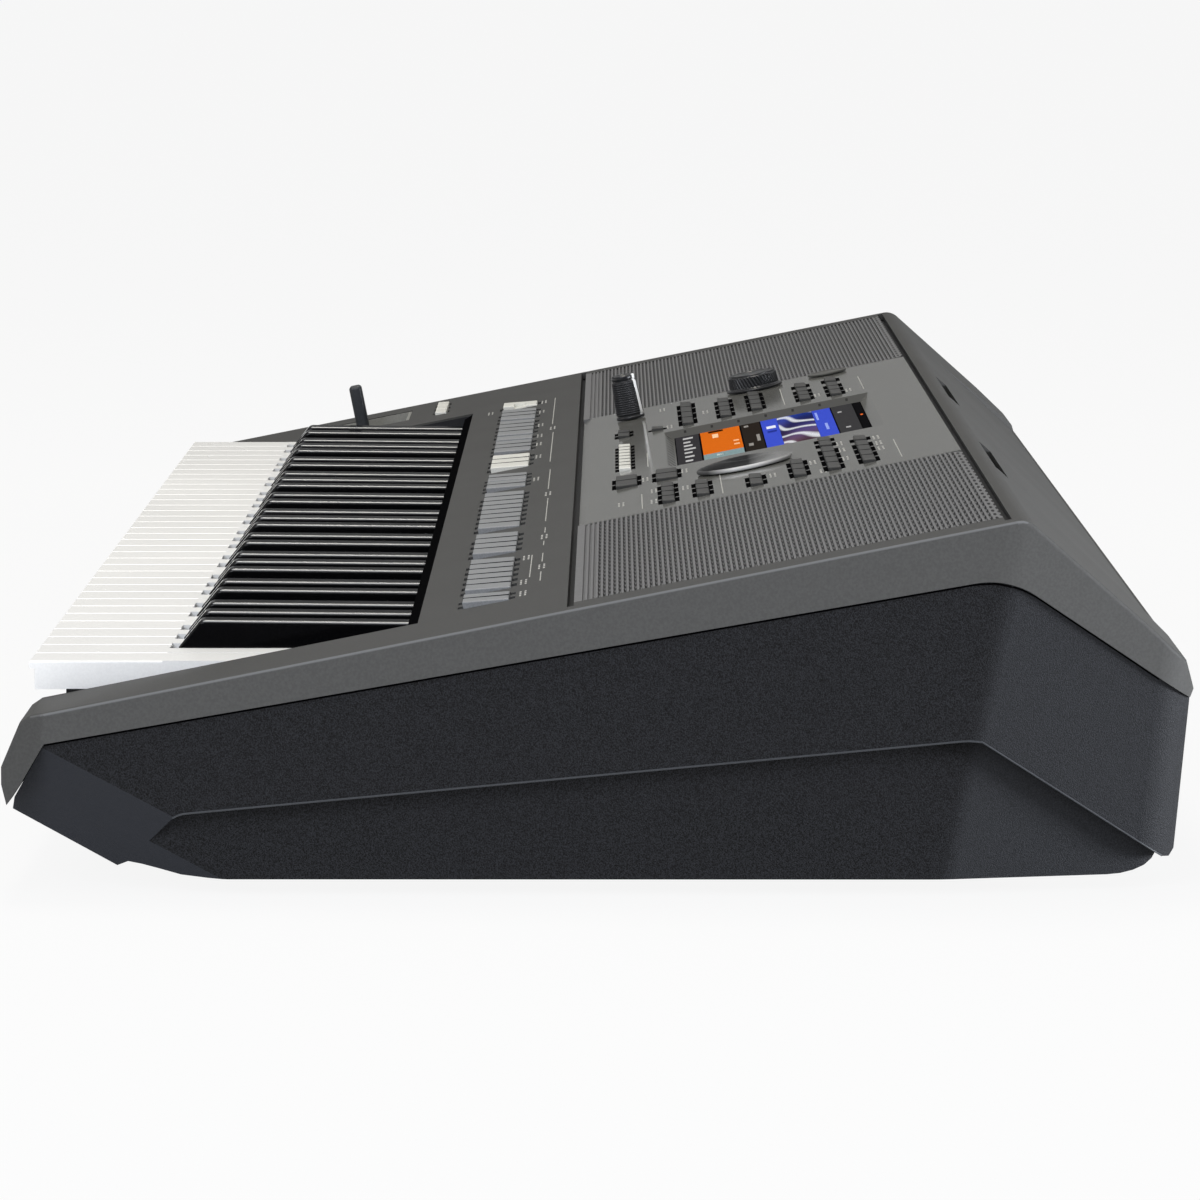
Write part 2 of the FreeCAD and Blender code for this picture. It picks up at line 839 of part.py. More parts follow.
def lower_body():
    side = half_width - case_step
    base_side = half_width - base_step
    proud = side_prism(lower_points(proud_shares) + seam_points(), -side, side)
    proud = round_ridge(proud, seam_points()[1], knee_round - seam_gap).common(full_plan(side, 0))
    base = side_prism(lower_points(base_shares()), -base_side, base_side).common(full_plan(base_side, 0))
    return proud.fuse(base).cut([facet_cut(-1, 0), facet_cut(1, 0)])


def lower_hollow():
    side = half_width - case_step
    base_side = half_width - base_step
    roof = top_z(half_depth) + cut_over
    front, rear = seam_points()[-1], seam_points()[0]
    flat = base_front_shares[-1:] + base_rear_shares[:1]
    whole = (lower_points(proud_shares[:3] + flat + proud_shares[-1:])
             + [rear, (rear[0], roof), (front[0], roof), front])
    inner = side_prism(inset(whole, skin), skin - base_side, base_side - skin)
    pocket = lower_points(proud_shares[5:]) + [rear, (rear[0], roof)]
    pocket = pocket + [(pocket[0][0], roof)]
    sides = side_prism(inset(pocket, skin), skin - side, side - skin)
    inner = inner.common(full_plan(base_side, skin)).fuse(sides.common(full_plan(side, skin)))
    return inner.cut([facet_cut(-1, skin), facet_cut(1, skin)])


def lower_shell():
    body = lower_body().cut(lower_hollow())
    floor = foot_height + skin / 2
    posts = [upright(post_radius, x, y, floor, chassis_top - chassis_thick) for x, y in chassis_post_places()]
    posts += [upright(board_post_radius, x, y, floor, main_board_height) for x, y in board_post_places()]
    body = body.fuse(posts)
    cuts = [screw_room(x, y) for x, y in chassis_post_places()]
    half = jack_window_width / 2
    low = jack_window_base()
    cuts.append(on_rear(box(-half, half, -skin - cut_over, cut_over, low, low + jack_window_height)))
    return body.cut(cuts).removeSplitter()


def lower_pieces():
    """Tray and the rear wall that wraps the rear corners."""
    return parted(lower_shell(), [half_depth - rear_wall_depth])


def screw_room(x, y):
    seat = foot_height + screw_head_height
    head = upright(screw_head_radius + screw_clearance, x, y, -cut_over, seat)
    end = seat + screw_shank_length + screw_clearance
    return head.fuse(upright(screw_shank_radius + screw_clearance, x, y, 0, end))


def case_screws():
    seat = foot_height + screw_head_height
    screws = []
    for x, y in chassis_post_places():
        head = upright(screw_head_radius, x, y, foot_height, seat)
        screws.append(head.fuse(upright(screw_shank_radius, x, y, foot_height, seat + screw_shank_length)))
    return group(screws)


def feet():
    return group([upright(foot_radius, x, y, 0, foot_height) for x, y in foot_places()])


# Keys: slots behind the heads are shared evenly by the tails of each group
def key_slots():
    """Name, left and right end of every tail within one octave, and its head ends for white keys."""
    low = 3 * white_pitch
    high = 4 * white_pitch
    names = ("c", "c_sharp", "d", "d_sharp", "e", "f", "f_sharp", "g", "g_sharp", "a", "a_sharp", "b")
    slots = []
    white = 0
    for i, name in enumerate(names):
        if i < 5:
            left, right = low * i / 5, low * (i + 1) / 5
        else:
            left, right = low + high * (i - 5) / 7, low + high * (i - 4) / 7
        if name.endswith("sharp"):
            slots.append((name, left, right, None))
        else:
            slots.append((name, left, right, white * white_pitch))
            white += 1
    return slots


def pivot_bore(x_low, x_high):
    return rod(pivot_radius + pivot_clearance, point(x_low - cut_over, pivot_y, pivot_z), point(1, 0, 0),
               x_high - x_low + 2 * cut_over)


def key_arm(left, right):
    ease = arm_gap / 2
    return box(left + ease, right - ease, arm_front - ease, key_rear, white_low, white_top_height)


def white_head(head_left):
    left = head_left + key_gap / 2
    right = head_left + white_pitch - key_gap / 2
    front = key_front + white_lip_overhang
    lip_low = white_top_height - white_lip_height
    outline = [(key_front, white_top_height), (key_front, lip_low), (front, lip_low), (front, white_low),
               (head_rear, white_low), (head_rear, white_top_height)]
    head = side_prism(outline, left, right)
    edge_z = white_top_height - white_edge_round
    head = rounded(head, white_edge_round, lambda edge: edge.BoundBox.ZMin > edge_z
                   and edge.BoundBox.YMin < head_rear - white_edge_round)
    pocket = box(left + white_side_wall, right - white_side_wall, front + white_side_wall,
                 head_rear - white_side_wall, white_low - cut_over, white_top_height - white_top_wall)
    return head, pocket


def tail_pockets(left, right, front, roof):
    low = white_low - cut_over
    half = press_rib_depth / 2
    ends = ((front, press_rib_y - half), (press_rib_y + half, arm_front - arm_gap))
    return [box(left + white_side_wall, right - white_side_wall, start, end, low, roof)
            for start, end in ends]


def white_key(left, right, head_left):
    head, pocket = white_head(head_left)
    tail_left, tail_right = left + key_gap / 2, right - key_gap / 2
    tail = box(tail_left, tail_right, head_rear, arm_front, white_low, white_top_height)
    key = fuse_all([head, tail, key_arm(left, right)])
    roof = white_top_height - white_top_wall
    cuts = [pocket, pivot_bore(left, right)]
    cuts += tail_pockets(tail_left, tail_right, head_rear + white_side_wall, roof)
    return key.cut(cuts)


def black_body(middle):
    """Tapered bar with a sloping front, lowest at the rear under the panel."""
    top = white_top_height + black_rise
    rear = panel_front + black_tail_cover
    half_base, half_top = black_base_width / 2, black_top_width / 2
    run = black_front_run
    outline = [(black_front, white_low), (black_front, white_top_height), (black_front + run, top),
               (rear, top - black_rear_drop), (rear, white_low)]
    bar = side_prism(outline, middle - half_base, middle + half_base)
    slack = half_base - half_top
    for side in (-1, 1):
        base = middle + side * half_base
        corners = [point(base, black_front - cut_over, white_top_height),
                   point(base - side * slack, black_front - cut_over, top),
                   point(base - side * slack, black_front - cut_over, top + cut_over),
                   point(base + side * cut_over, black_front - cut_over, top + cut_over),
                   point(base + side * cut_over, black_front - cut_over, white_top_height)]
        face = Part.Face(Part.makePolygon(corners + corners[:1]))
        bar = bar.cut(face.extrude(point(0, rear - black_front + 2 * cut_over, 0)))
    bar = rounded(bar, black_front_round, lambda edge: spans_x(edge)
                  and edge.BoundBox.ZMin > top - black_rear_drop / 2)
    return rounded(bar, black_edge_round, lambda edge: edge.BoundBox.ZMax > top - black_rear_drop
                   and edge.BoundBox.YMax < rear + black_rear_drop and not spans_x(edge)
                   and edge.BoundBox.ZMin > white_top_height + black_rise / 3)


def black_key(left, right):
    middle = (left + right) / 2
    rear = panel_front + black_tail_cover
    link = box(left + key_gap / 2, right - key_gap / 2, rear - black_front_run, arm_front, white_low,
               white_top_height)
    key = fuse_all([black_body(middle), link, key_arm(left, right)])
    wall = (black_base_width - black_top_width) + white_side_wall
    half = black_base_width / 2 - wall + white_side_wall
    front = black_front + black_front_run
    roof = white_top_height + black_rise / 2
    cuts = tail_pockets(middle - half, middle + half, front, roof)
    cuts[1] = tail_pockets(middle - half, middle + half, front, white_top_height - white_top_wall)[1]
    return key.cut(cuts + [pivot_bore(left, right)])


def key_sets():
    """Every pitch name with its keys in all octaves; the top white key closes the row."""
    sets = {}
    for name, left, right, head_left in key_slots():
        if head_left is None:
            first = black_key(key_left + left, key_left + right)
        else:
            first = white_key(key_left + left, key_left + right, key_left + head_left)
        keys = []
        for octave in range(octave_count):
            moved = first.copy()
            moved.translate(point(octave * octave_span, 0, 0))
            keys.append(moved)
        sets[name] = keys
    last = key_left + octave_count * octave_span
    sets["c"].append(white_key(last, last + white_pitch, last))
    return sets


def pivot_rib_places():
    return [key_left + octave * octave_span for octave in range(octave_count + 1)] + [key_right]


def key_chassis():
    left = key_left - key_side_gap
    right = key_right + key_side_gap
    front = key_front + chassis_front_gap
    low = chassis_top - chassis_thick
    pieces = [box(left, right, front, key_rear + pivot_end, low, chassis_top)]
    for x in pivot_rib_places():
        pieces.append(box(x - pivot_rib_thick / 2, x + pivot_rib_thick / 2, pivot_y - pivot_rib_depth / 2,
                          pivot_y + pivot_rib_depth / 2, low, pivot_z + pivot_rib_over))
    for x in (left, right - end_plate_thick):
        pieces.append(box(x, x + end_plate_thick, front, front + end_plate_back, low,
                          white_top_height - end_plate_drop))
    return fuse_all(pieces).cut(pivot_bore(left, right))


def pivot_rod():
    start = key_left - pivot_rib_thick / 2
    return rod(pivot_radius, point(start, pivot_y, pivot_z), point(1, 0, 0), key_block + pivot_rib_thick)


def key_felt():
    front = key_front + felt_setback
    return box(key_left, key_right, front, front + felt_depth, chassis_top, chassis_top + felt_height)


def contact_board():
    half = contact_board_depth / 2
    return box(key_left, key_right, press_rib_y - half, press_rib_y + half, chassis_top,
               chassis_top + contact_board_thick)


def contact_domes():
    low = chassis_top + contact_board_thick
    domes = []
    for name, left, right, head_left in key_slots():
        for octave in range(octave_count + (1 if name == "c" else 0)):
            x = key_left + (left + right) / 2 + octave * octave_span
            domes.append(Part.makeCone(dome_radius, dome_tip_radius, dome_height, point(x, press_rib_y, low)))
    return group(domes)


# Deck: control plate, grilles and the baffle that carries them
def plate_place(share):
    return plate_shift + share[0] * plate_width / 2, deck_v + share[1] * deck_length


def window_ends():
    half = plate_width / 2
    x_low, x_high = (plate_shift + share * half for share in window_x_shares)
    v_low, v_high = (deck_v + share * deck_length for share in window_v_shares)
    return x_low, x_high, v_low, v_high


def window_cut():
    """Display window with slanted walls, wide at the face and narrow underneath."""
    x_low, x_high, v_low, v_high = window_ends()
    wires = []
    for w, gap in ((0, 0), (-skin, window_bevel)):
        corners = [point(x_low + gap, v_low + gap, w), point(x_high - gap, v_low + gap, w),
                   point(x_high - gap, v_high - gap, w), point(x_low + gap, v_high - gap, w)]
        wires.append(Part.makePolygon(corners + corners[:1]))
    return Part.makeLoft(wires, True, True)


def knob_places():
    return [plate_place(share) for share in (tall_place_share, wide_place_share, disc_place_share,
                                             dial_place_share)]


def panel_post_places():
    left, right = plate_left + panel_post_inset + plate_seat, plate_right - panel_post_inset - plate_seat
    front, rear = plates_front + panel_post_inset + plate_seat, plates_rear - panel_post_inset - plate_seat
    return [(left, front), (right, front), (left, rear), (right, rear)]


def center_panel():
    outline = [(plates_front, -skin), (plates_rear, -skin), (plates_rear, 0),
               (plates_front + plate_bevel, 0), (plates_front, -plate_bevel_drop)]
    plate = side_prism(outline, plate_left, plate_right)
    posts = [upright(panel_post_radius, x, v, panel_board_w, -skin / 2) for x, v in panel_post_places()]
    plate = plate.fuse(posts)
    cuts = [window_cut()]
    hole = shaft_radius + shaft_hole_clearance
    cuts += [upright(hole, x, v, -skin - cut_over, cut_over) for x, v in knob_places()]
    plate = on_panel(plate.cut(cuts))
    return plate.cut(cap_openings(cluster_sets(), cluster_gap, cluster_notch)).removeSplitter()


def grille(x_low, x_high, inner_side):
    """Plate whose face is a row of ribs running along X; one rear corner is rounded."""
    points = [(plates_front, -skin), (plates_front, 0), (plates_front + rib_margin, 0)]
    count = int((plates_rear - plates_front - 2 * rib_margin) / rib_pitch)
    crest = rib_crest_share * rib_pitch
    ramp = rib_ramp_share * rib_pitch
    for i in range(count):
        start = plates_front + rib_margin + i * rib_pitch
        points += [(start + crest, 0), (start + crest + ramp, -rib_deep),
                   (start + rib_pitch - ramp, -rib_deep), (start + rib_pitch, 0)]
    points += [(plates_rear, 0), (plates_rear, -skin)]
    plate = side_prism(points, x_low, x_high)
    corner_x = x_high if inner_side > 0 else x_low
    middle_x = corner_x - inner_side * grille_corner
    near, far = sorted((middle_x, corner_x + inner_side * cut_over))
    deep = -skin - cut_over
    middle_v = plates_rear - grille_corner
    corner = box(near, far, middle_v, plates_rear + cut_over, deep, cut_over)
    corner = corner.cut(upright(grille_corner, middle_x, middle_v, deep, cut_over))
    return on_panel(plate.cut(corner))


def speaker_places():
    middle = (plates_front + plates_rear) / 2
    return [((plate_left - opening_half) / 2, middle), ((plate_right + opening_half) / 2, middle)]


def top_baffle():
    low = -skin - baffle_thick
    plate = box(-opening_half - baffle_lap, opening_half + baffle_lap, opening_front - baffle_lap,
                opening_rear + baffle_rear_lap, low, -skin)
    cuts = [box(plate_left + plate_seat, plate_right - plate_seat, plates_front + plate_seat,
                plates_rear - plate_seat, low - cut_over, cut_over)]
    cuts += [upright(speaker_radius, x, v, low - cut_over, cut_over) for x, v in speaker_places()]
    return on_panel(plate.cut(cuts))


def speaker_baskets():
    face = -skin - baffle_thick
    baskets = []
    for x, v in speaker_places():
        flange = upright(speaker_radius + basket_flange, x, v, face - basket_flange_thick, face)
        low = face - basket_depth
        drop = basket_depth - basket_flange_thick
        bowl = Part.makeCone(basket_low_radius, speaker_radius, drop, point(x, v, low))
        neck, span = basket_low_radius - basket_wall, speaker_radius - basket_wall
        inner = Part.makeCone(neck, span, drop, point(x, v, low))
        mouth = upright(span, x, v, face - basket_flange_thick, face)
        floor = upright(basket_low_radius - basket_wall / 2, x, v, low, low + basket_wall)
        shell = flange.fuse(bowl).cut([inner, mouth]).fuse(floor)
        baskets.append(on_panel(shell))
    return group(baskets)


def speaker_magnets():
    low = -skin - baffle_thick - basket_depth
    return group([on_panel(upright(magnet_radius, x, v, low - magnet_height, low))
                  for x, v in speaker_places()])


def speaker_cones():
    face = -skin - baffle_thick - basket_flange_thick
    drop = cone_low_share * (basket_depth - basket_flange_thick)
    low = face - drop
    span = speaker_radius - basket_wall
    slant = (span - basket_low_radius + basket_wall) / (basket_depth - basket_flange_thick)
    low_radius = span - slant * drop - cone_gap
    cones = []
    for x, v in speaker_places():
        outer = Part.makeCone(low_radius, span - cone_gap / 2, drop, point(x, v, low))
        inner = Part.makeCone(low_radius - cone_wall, span - cone_gap / 2 - cone_wall, drop, point(x, v, low))
        floor = upright(low_radius - cone_wall / 2, x, v, low, low + cone_wall)
        cap_top = Part.makeCone(cone_neck_radius, cone_neck_radius / 2, cone_neck_radius / 2,
                                point(x, v, low + cone_wall / 2))
        cones.append(on_panel(outer.cut(inner).fuse([floor, cap_top])))
    return group(cones)


def display_glass():
    x_low, x_high, v_low, v_high = window_ends()
    lap = glass_lap
    return on_panel(box(x_low - lap, x_high + lap, v_low - lap, v_high + lap, -skin - glass_thick, -skin))


def display_module():
    x_low, x_high, v_low, v_high = window_ends()
    face = -skin - glass_thick
    return on_panel(box(x_low, x_high, v_low, v_high, face - module_thick, face))


# Knobs
def flutes(count, radius, height):
    cuts = []
    for i in range(count):
        angle = 2 * math.pi * i / count
        x, y = radius * math.cos(angle), radius * math.sin(angle)
        cuts.append(upright(flute_radius, x, y, knob_gap, height))
    return cuts


def seat_knob(body, share):
    x, v = plate_place(share)
    knob = body.fuse(upright(shaft_radius, 0, 0, -shaft_length, knob_gap)).removeSplitter()
    knob.translate(point(x, v, 0))
    return on_panel(knob)


def tall_knob():
    rise = tall_height - knob_gap
    body = Part.makeCone(tall_base_radius, tall_top_radius, rise, point(0, 0, knob_gap))
    body = body.cut(flutes(tall_flutes, tall_base_radius + flute_radius / 2, tall_height - knob_gap))
    return seat_knob(body, tall_place_share)


def wide_knob():
    flange = upright(wide_flange_radius, 0, 0, knob_gap, knob_gap + wide_flange_height)
    low = knob_gap + wide_flange_height
    body = Part.makeCone(wide_base_radius, wide_top_radius, wide_height - low, point(0, 0, low))
    cuts = []
    for cut in flutes(wide_flutes, wide_base_radius + flute_radius / 2, wide_height - knob_gap):
        cut.translate(point(0, 0, wide_flange_height))
        cuts.append(cut)
    return seat_knob(flange.fuse(body.cut(cuts)), wide_place_share)


def disc_knob():
    return seat_knob(upright(disc_radius, 0, 0, knob_gap, disc_height), disc_place_share)


def data_dial():
    """Low turned disc with a slanted rim, a shallow dished face and a finger dimple."""
    top = dial_height
    face = dial_radius - dial_rim
    side = [point(0, 0, knob_gap), point(dial_radius, 0, knob_gap), point(dial_radius, 0, dial_edge),
            point(face, 0, top), point(0, 0, top - dial_dish)]
    turned = Part.Face(Part.makePolygon(side + side[:1])).revolve(point(0, 0, 0), point(0, 0, 1), 360)
    middle = point(dial_dimple_share * face, 0, top + dial_dimple_radius / 2)
    return seat_knob(turned.cut(Part.makeSphere(dial_dimple_radius, middle)), dial_place_share)


def control_pots():
    pots = []
    for x, v in knob_places():
        body = upright(pot_radius, x, v, -skin - pot_height, -skin)
        bore = upright(shaft_radius + shaft_clearance, x, v, -shaft_length - knob_gap, cut_over)
        pots.append(on_panel(body.cut(bore)))
    return group(pots)


# Boards under the buttons
def row_board():
    left = key_middle + power_shares[0][0] * key_block / 2
    right = key_middle + row_right_shares[-1][1] * key_block / 2
    low = row_board_w - board_thick
    main = box(left, right, row_front - row_board_margin, row_rear + row_board_margin, low, row_board_w)
    middle = (cheek_front + cheek_rear) / 2
    half = cheek_board_depth / 2
    side = box(cheek_left, cheek_left + cheek_span, middle - half, middle + half, low, row_board_w)
    return group([on_panel(main), on_panel(side)])


def panel_board():
    gap = plate_seat + panel_board_margin
    low = panel_board_w - board_thick
    return on_panel(box(plate_left + gap, plate_right - gap, plates_front + gap, plates_rear - gap, low,
                        panel_board_w))


def tact_switches():
    high = -cap_sink - press_travel - switch_gap
    half = switch_width / 2
    switches = []
    places = [(place, row_board_w) for place in cap_places(row_sets() + cheek_spans(), row_cap_gap)]
    places += [(place, panel_board_w) for place in cap_places(cluster_sets(), cluster_gap)]
    for (x_low, x_high, front, rear), base in places:
        x, v = (x_low + x_high) / 2, (front + rear) / 2
        switches.append(on_panel(box(x - half, x + half, v - half, v + half, base, high)))
    return group(switches)


# Joystick: dish with lugs, gimbal ring, stick
def seat_stick(shape):
    moved = shape.copy()
    moved.translate(point(stick_x, stick_v, 0))
    return on_panel(moved)


def lug_inner():
    return ring_outer + lug_clearance


def joystick_base():
    half_x, half_v = dish_width / 2 - dish_top_gap, dish_length / 2 - dish_top_gap
    tray = box(-half_x, half_x, -half_v, half_v, -dish_deep, -dish_top_gap)
    inner = box(dish_wall - half_x, half_x - dish_wall, dish_wall - half_v, half_v - dish_wall,
                dish_floor - dish_deep, cut_over)
    wide_x, wide_v = half_x + dish_flange, half_v + dish_flange
    flange = box(-wide_x, wide_x, -wide_v, wide_v, -skin - dish_flange_thick, -skin)
    tray = tray.fuse(flange).cut([inner, upright(dish_hole_radius, 0, 0, -dish_deep - cut_over, cut_over)])
    lugs = []
    for side in (-1, 1):
        near, far = sorted((side * lug_inner(), side * (lug_inner() + lug_thick)))
        lugs.append(box(near, far, -lug_half_width, lug_half_width, pivot_w - lug_low,
                        dish_floor / 2 - dish_deep))
    reach = lug_inner() + lug_thick
    bore = rod(stick_pin_radius + stick_pin_clearance, point(-reach, 0, pivot_w), point(1, 0, 0), 2 * reach)
    return seat_stick(tray.fuse(lugs).cut(bore).removeSplitter())


def joystick_gimbal():
    low, high = pivot_w - ring_half_height, pivot_w + ring_half_height
    ring = upright(ring_outer, 0, 0, low, high).cut(upright(ring_inner, 0, 0, low, high))
    reach = lug_inner() + lug_thick
    pins = []
    for side in (-1, 1):
        start = side * (ring_inner + ring_outer) / 2
        pins.append(rod(stick_pin_radius, point(start, 0, pivot_w), point(side, 0, 0), reach - abs(start)))
    bore = rod(stick_pin_radius + stick_pin_clearance, point(0, -ring_outer, pivot_w), point(0, 1, 0),
               2 * ring_outer)
    return seat_stick(ring.fuse(pins).cut(bore).removeSplitter())


def joystick_stick():
    hub = rod(hub_radius, point(0, -hub_half_length, pivot_w), point(0, 1, 0), 2 * hub_half_length)
    pin_half = (ring_inner + 2 * ring_outer) / 3
    pin = rod(stick_pin_radius, point(0, -pin_half, pivot_w), point(0, 1, 0), 2 * pin_half)
    stem = box(-stick_width / 2, stick_width / 2, -stick_depth / 2, stick_depth / 2, pivot_w, stick_rise)
    stem = rounded(stem, stick_round, lambda edge: edge.BoundBox.ZMax > 0)
    middle = point(0, 0, pivot_w)
    dome = Part.makeSphere(dome_outer, middle).cut(Part.makeSphere(dome_outer - dome_wall, middle))
    floor = pivot_w + dome_reach_share * dome_outer
    dome = dome.common(box(-dome_outer, dome_outer, -dome_outer, dome_outer, floor, pivot_w + dome_outer))
    return seat_stick(fuse_all([hub, pin, stem, dome]))


# Main board and the rear jack plate
def main_board():
    half_x, half_y = main_board_width / 2, main_board_depth / 2
    return box(-half_x, half_x, main_board_back - half_y, main_board_back + half_y, main_board_height,
               main_board_height + board_thick)


def jack_x(share):
    return share * jack_window_width / 2


def jack_z():
    return jack_window_base() + jack_window_height / 2


def rear_panel():
    half = jack_window_width / 2 + jack_plate_lap
    low = jack_window_base() - jack_plate_lap
    high = jack_window_base() + jack_window_height + jack_plate_lap
    plate = box(-half, half, -skin - jack_plate_thick, -skin, low, high)
    rounds = [(share, jack_body_radius) for share in jack_x_shares] + [(inlet_x_share, inlet_radius)]
    start = -cut_over - skin
    cuts = [rod(radius + jack_hole_clearance, point(jack_x(share), start, jack_z()), point(0, 1, 0),
                2 * cut_over) for share, radius in rounds]
    half_usb, half_tall = usb_width / 2, usb_height / 2
    cuts += [box(jack_x(share) - half_usb, jack_x(share) + half_usb, -cut_over - skin, cut_over,
                 jack_z() - half_tall, jack_z() + half_tall) for share in usb_x_shares]
    return on_rear(plate.cut(cuts))


def jack_back():
    return -skin - jack_plate_thick - jack_board_back


def jack_board():
    half = jack_window_width / 2
    low = jack_window_base()
    return on_rear(box(-half, half, jack_back() - board_thick, jack_back(), low, low + jack_window_height))


def phone_jacks():
    jacks = []
    for share in jack_x_shares:
        start = point(jack_x(share), jack_back(), jack_z())
        length = jack_nose - skin - jack_back()
        body = rod(jack_body_radius, start, point(0, 1, 0), length)
        mouth = point(jack_x(share), jack_back() + jack_floor, jack_z())
        jacks.append(on_rear(body.cut(rod(jack_bore_radius, mouth, point(0, 1, 0), length))))
    return group(jacks)


def usb_ports():
    ports = []
    half, tall = usb_width / 2, usb_height / 2
    for share in usb_x_shares:
        x = jack_x(share)
        front = jack_nose / 2 - skin
        shell = box(x - half, x + half, jack_back(), front, jack_z() - tall, jack_z() + tall)
        room = box(x - half + usb_wall, x + half - usb_wall, front - usb_depth, cut_over,
                   jack_z() - tall + usb_wall, jack_z() + tall - usb_wall)
        ports.append(on_rear(shell.cut(room)))
    return group(ports)


def power_inlet():
    x = jack_x(inlet_x_share)
    length = jack_nose - skin - jack_back()
    body = rod(inlet_radius, point(x, jack_back(), jack_z()), point(0, 1, 0), length)
    mouth = point(x, jack_back() + jack_floor, jack_z())
    return on_rear(body.cut(rod(inlet_bore_radius, mouth, point(0, 1, 0), length)))


# Write one file per piece
def save(name, shape):
    shape.exportStep("parts/%s.step" % name)


def main():
    os.makedirs("parts", exist_ok=True)
    for name, piece in zip(("upper_case", "rest_rail", "rear_slope"), upper_pieces()):
        save(name, piece)
    for name, piece in zip(("lower_case", "rear_wall"), lower_pieces()):
        save(name, piece)
    save("feet", feet())
    save("case_screws", case_screws())
    for name, keys in key_sets().items():
        save("keys_" + name, group(keys))
    save("key_chassis", key_chassis())
    save("pivot_rod", pivot_rod())
    save("key_felt", key_felt())
    save("contact_board", contact_board())
    save("contact_domes", contact_domes())
    save("center_panel", center_panel())
    save("grille_left", grille(deck_fit - opening_half, plate_left - deck_fit, 1))
    save("grille_right", grille(plate_right + deck_fit, opening_half - deck_fit, -1))
    save("top_baffle", top_baffle())
    save("speaker_baskets", speaker_baskets())
    save("speaker_magnets", speaker_magnets())
    save("speaker_cones", speaker_cones())
    save("display_glass", display_glass())
    save("display_module", display_module())
    row = (row_cap_gap, row_front_rise, row_rear_rise)
    save("row_buttons_left", group(caps(row_spans(row_left_shares, row_left_counts), *row)))
    save("row_buttons_white", group(caps(row_spans(row_white_shares, row_white_counts), *row)))
    save("row_buttons_mid", group(caps(row_spans(row_mid_shares, row_mid_counts), *row)))
    save("row_buttons_right", group(caps(row_spans(row_right_shares, row_right_counts), *row)))
    save("power_button", power_button())
    save("cheek_buttons", group(caps(cheek_spans(), row_cap_gap, cheek_front_rise, cheek_rear_rise)))
    low = (cluster_gap, cluster_front_rise, cluster_rear_rise)
    save("panel_buttons_left", group(caps(plate_spans(left_shares, left_counts, cluster_depth), *low)))
    front = plate_spans(front_shares, front_counts, cluster_depth)
    front += plate_spans(rocker_shares, rocker_counts, rocker_depth)
    save("panel_buttons_front", group(caps(front, *low)))
    save("memory_buttons", group(caps(plate_spans(memory_shares, memory_counts, cluster_depth), *low)))
    save("panel_buttons_right", group(caps(plate_spans(right_shares, right_counts, cluster_depth), *low)))
    save("tall_knob", tall_knob())
    save("wide_knob", wide_knob())
    save("disc_knob", disc_knob())
    save("data_dial", data_dial())
    save("control_pots", control_pots())
    save("row_board", row_board())
    save("panel_board", panel_board())
    save("tact_switches", tact_switches())
    save("joystick_base", joystick_base())
    save("joystick_gimbal", joystick_gimbal())
    save("joystick_stick", joystick_stick())
    save("main_board", main_board())
    save("rear_panel", rear_panel())
    save("jack_board", jack_board())
    save("phone_jacks", phone_jacks())
    save("usb_ports", usb_ports())
    save("power_inlet", power_inlet())


main()
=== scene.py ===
# %% [markdown]
# An arranger keyboard stands on a pale studio floor, seen along its key row from the player's right.
# The solid parts come from the CAD model, already in place and in metres.
# This lesson adds the camera and the light, gives every part its finish, and dresses the control panel.

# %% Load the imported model
import math
import bpy
import numpy as np
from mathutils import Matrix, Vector


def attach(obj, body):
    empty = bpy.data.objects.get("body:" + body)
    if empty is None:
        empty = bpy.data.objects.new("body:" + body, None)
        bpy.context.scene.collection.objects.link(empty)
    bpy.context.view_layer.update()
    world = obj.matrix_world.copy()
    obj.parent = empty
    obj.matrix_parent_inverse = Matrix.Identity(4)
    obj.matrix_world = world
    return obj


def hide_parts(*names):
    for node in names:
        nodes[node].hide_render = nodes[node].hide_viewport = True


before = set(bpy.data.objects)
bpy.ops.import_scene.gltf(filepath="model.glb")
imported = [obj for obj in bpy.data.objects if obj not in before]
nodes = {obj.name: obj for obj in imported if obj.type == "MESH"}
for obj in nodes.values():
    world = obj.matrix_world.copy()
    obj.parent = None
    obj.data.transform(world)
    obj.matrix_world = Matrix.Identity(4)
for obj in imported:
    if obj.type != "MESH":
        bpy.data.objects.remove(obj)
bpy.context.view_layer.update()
scene = bpy.context.scene
scene.view_settings.view_transform = "Standard"

# %% [markdown]
# The photograph was taken with a very long lens from beyond the right-hand end of the keyboard.
# A camera solve on the octave spacing and the corners of the case gave its place, its tilt and its lens.
# A camera looks along its own -Z axis, so the rotation is built from the direction that it looks in.

# %% Camera
LENS_PIXELS, IMAGE_PIXELS, SENSOR_MM = 6089.4, 1200.0, 36.0
CAMERA_PLACE, FAR_CLIP = (2.5735, 0.0043, 0.3450), 200.0
pitch, yaw = math.radians(6.668), math.radians(0.114)
look = Vector((-math.cos(pitch) * math.cos(yaw), -math.cos(pitch) * math.sin(yaw), -math.sin(pitch)))
camera = bpy.data.objects.new("camera", bpy.data.cameras.new("camera"))
camera.data.sensor_width = SENSOR_MM
camera.data.lens = LENS_PIXELS / IMAGE_PIXELS * SENSOR_MM
camera.data.clip_end = FAR_CLIP
camera.location = CAMERA_PLACE
camera.rotation_euler = look.to_track_quat("-Z", "Y").to_euler()
scene.collection.objects.link(camera)
scene.camera = camera
print("lens in millimetres:", round(camera.data.lens, 1))

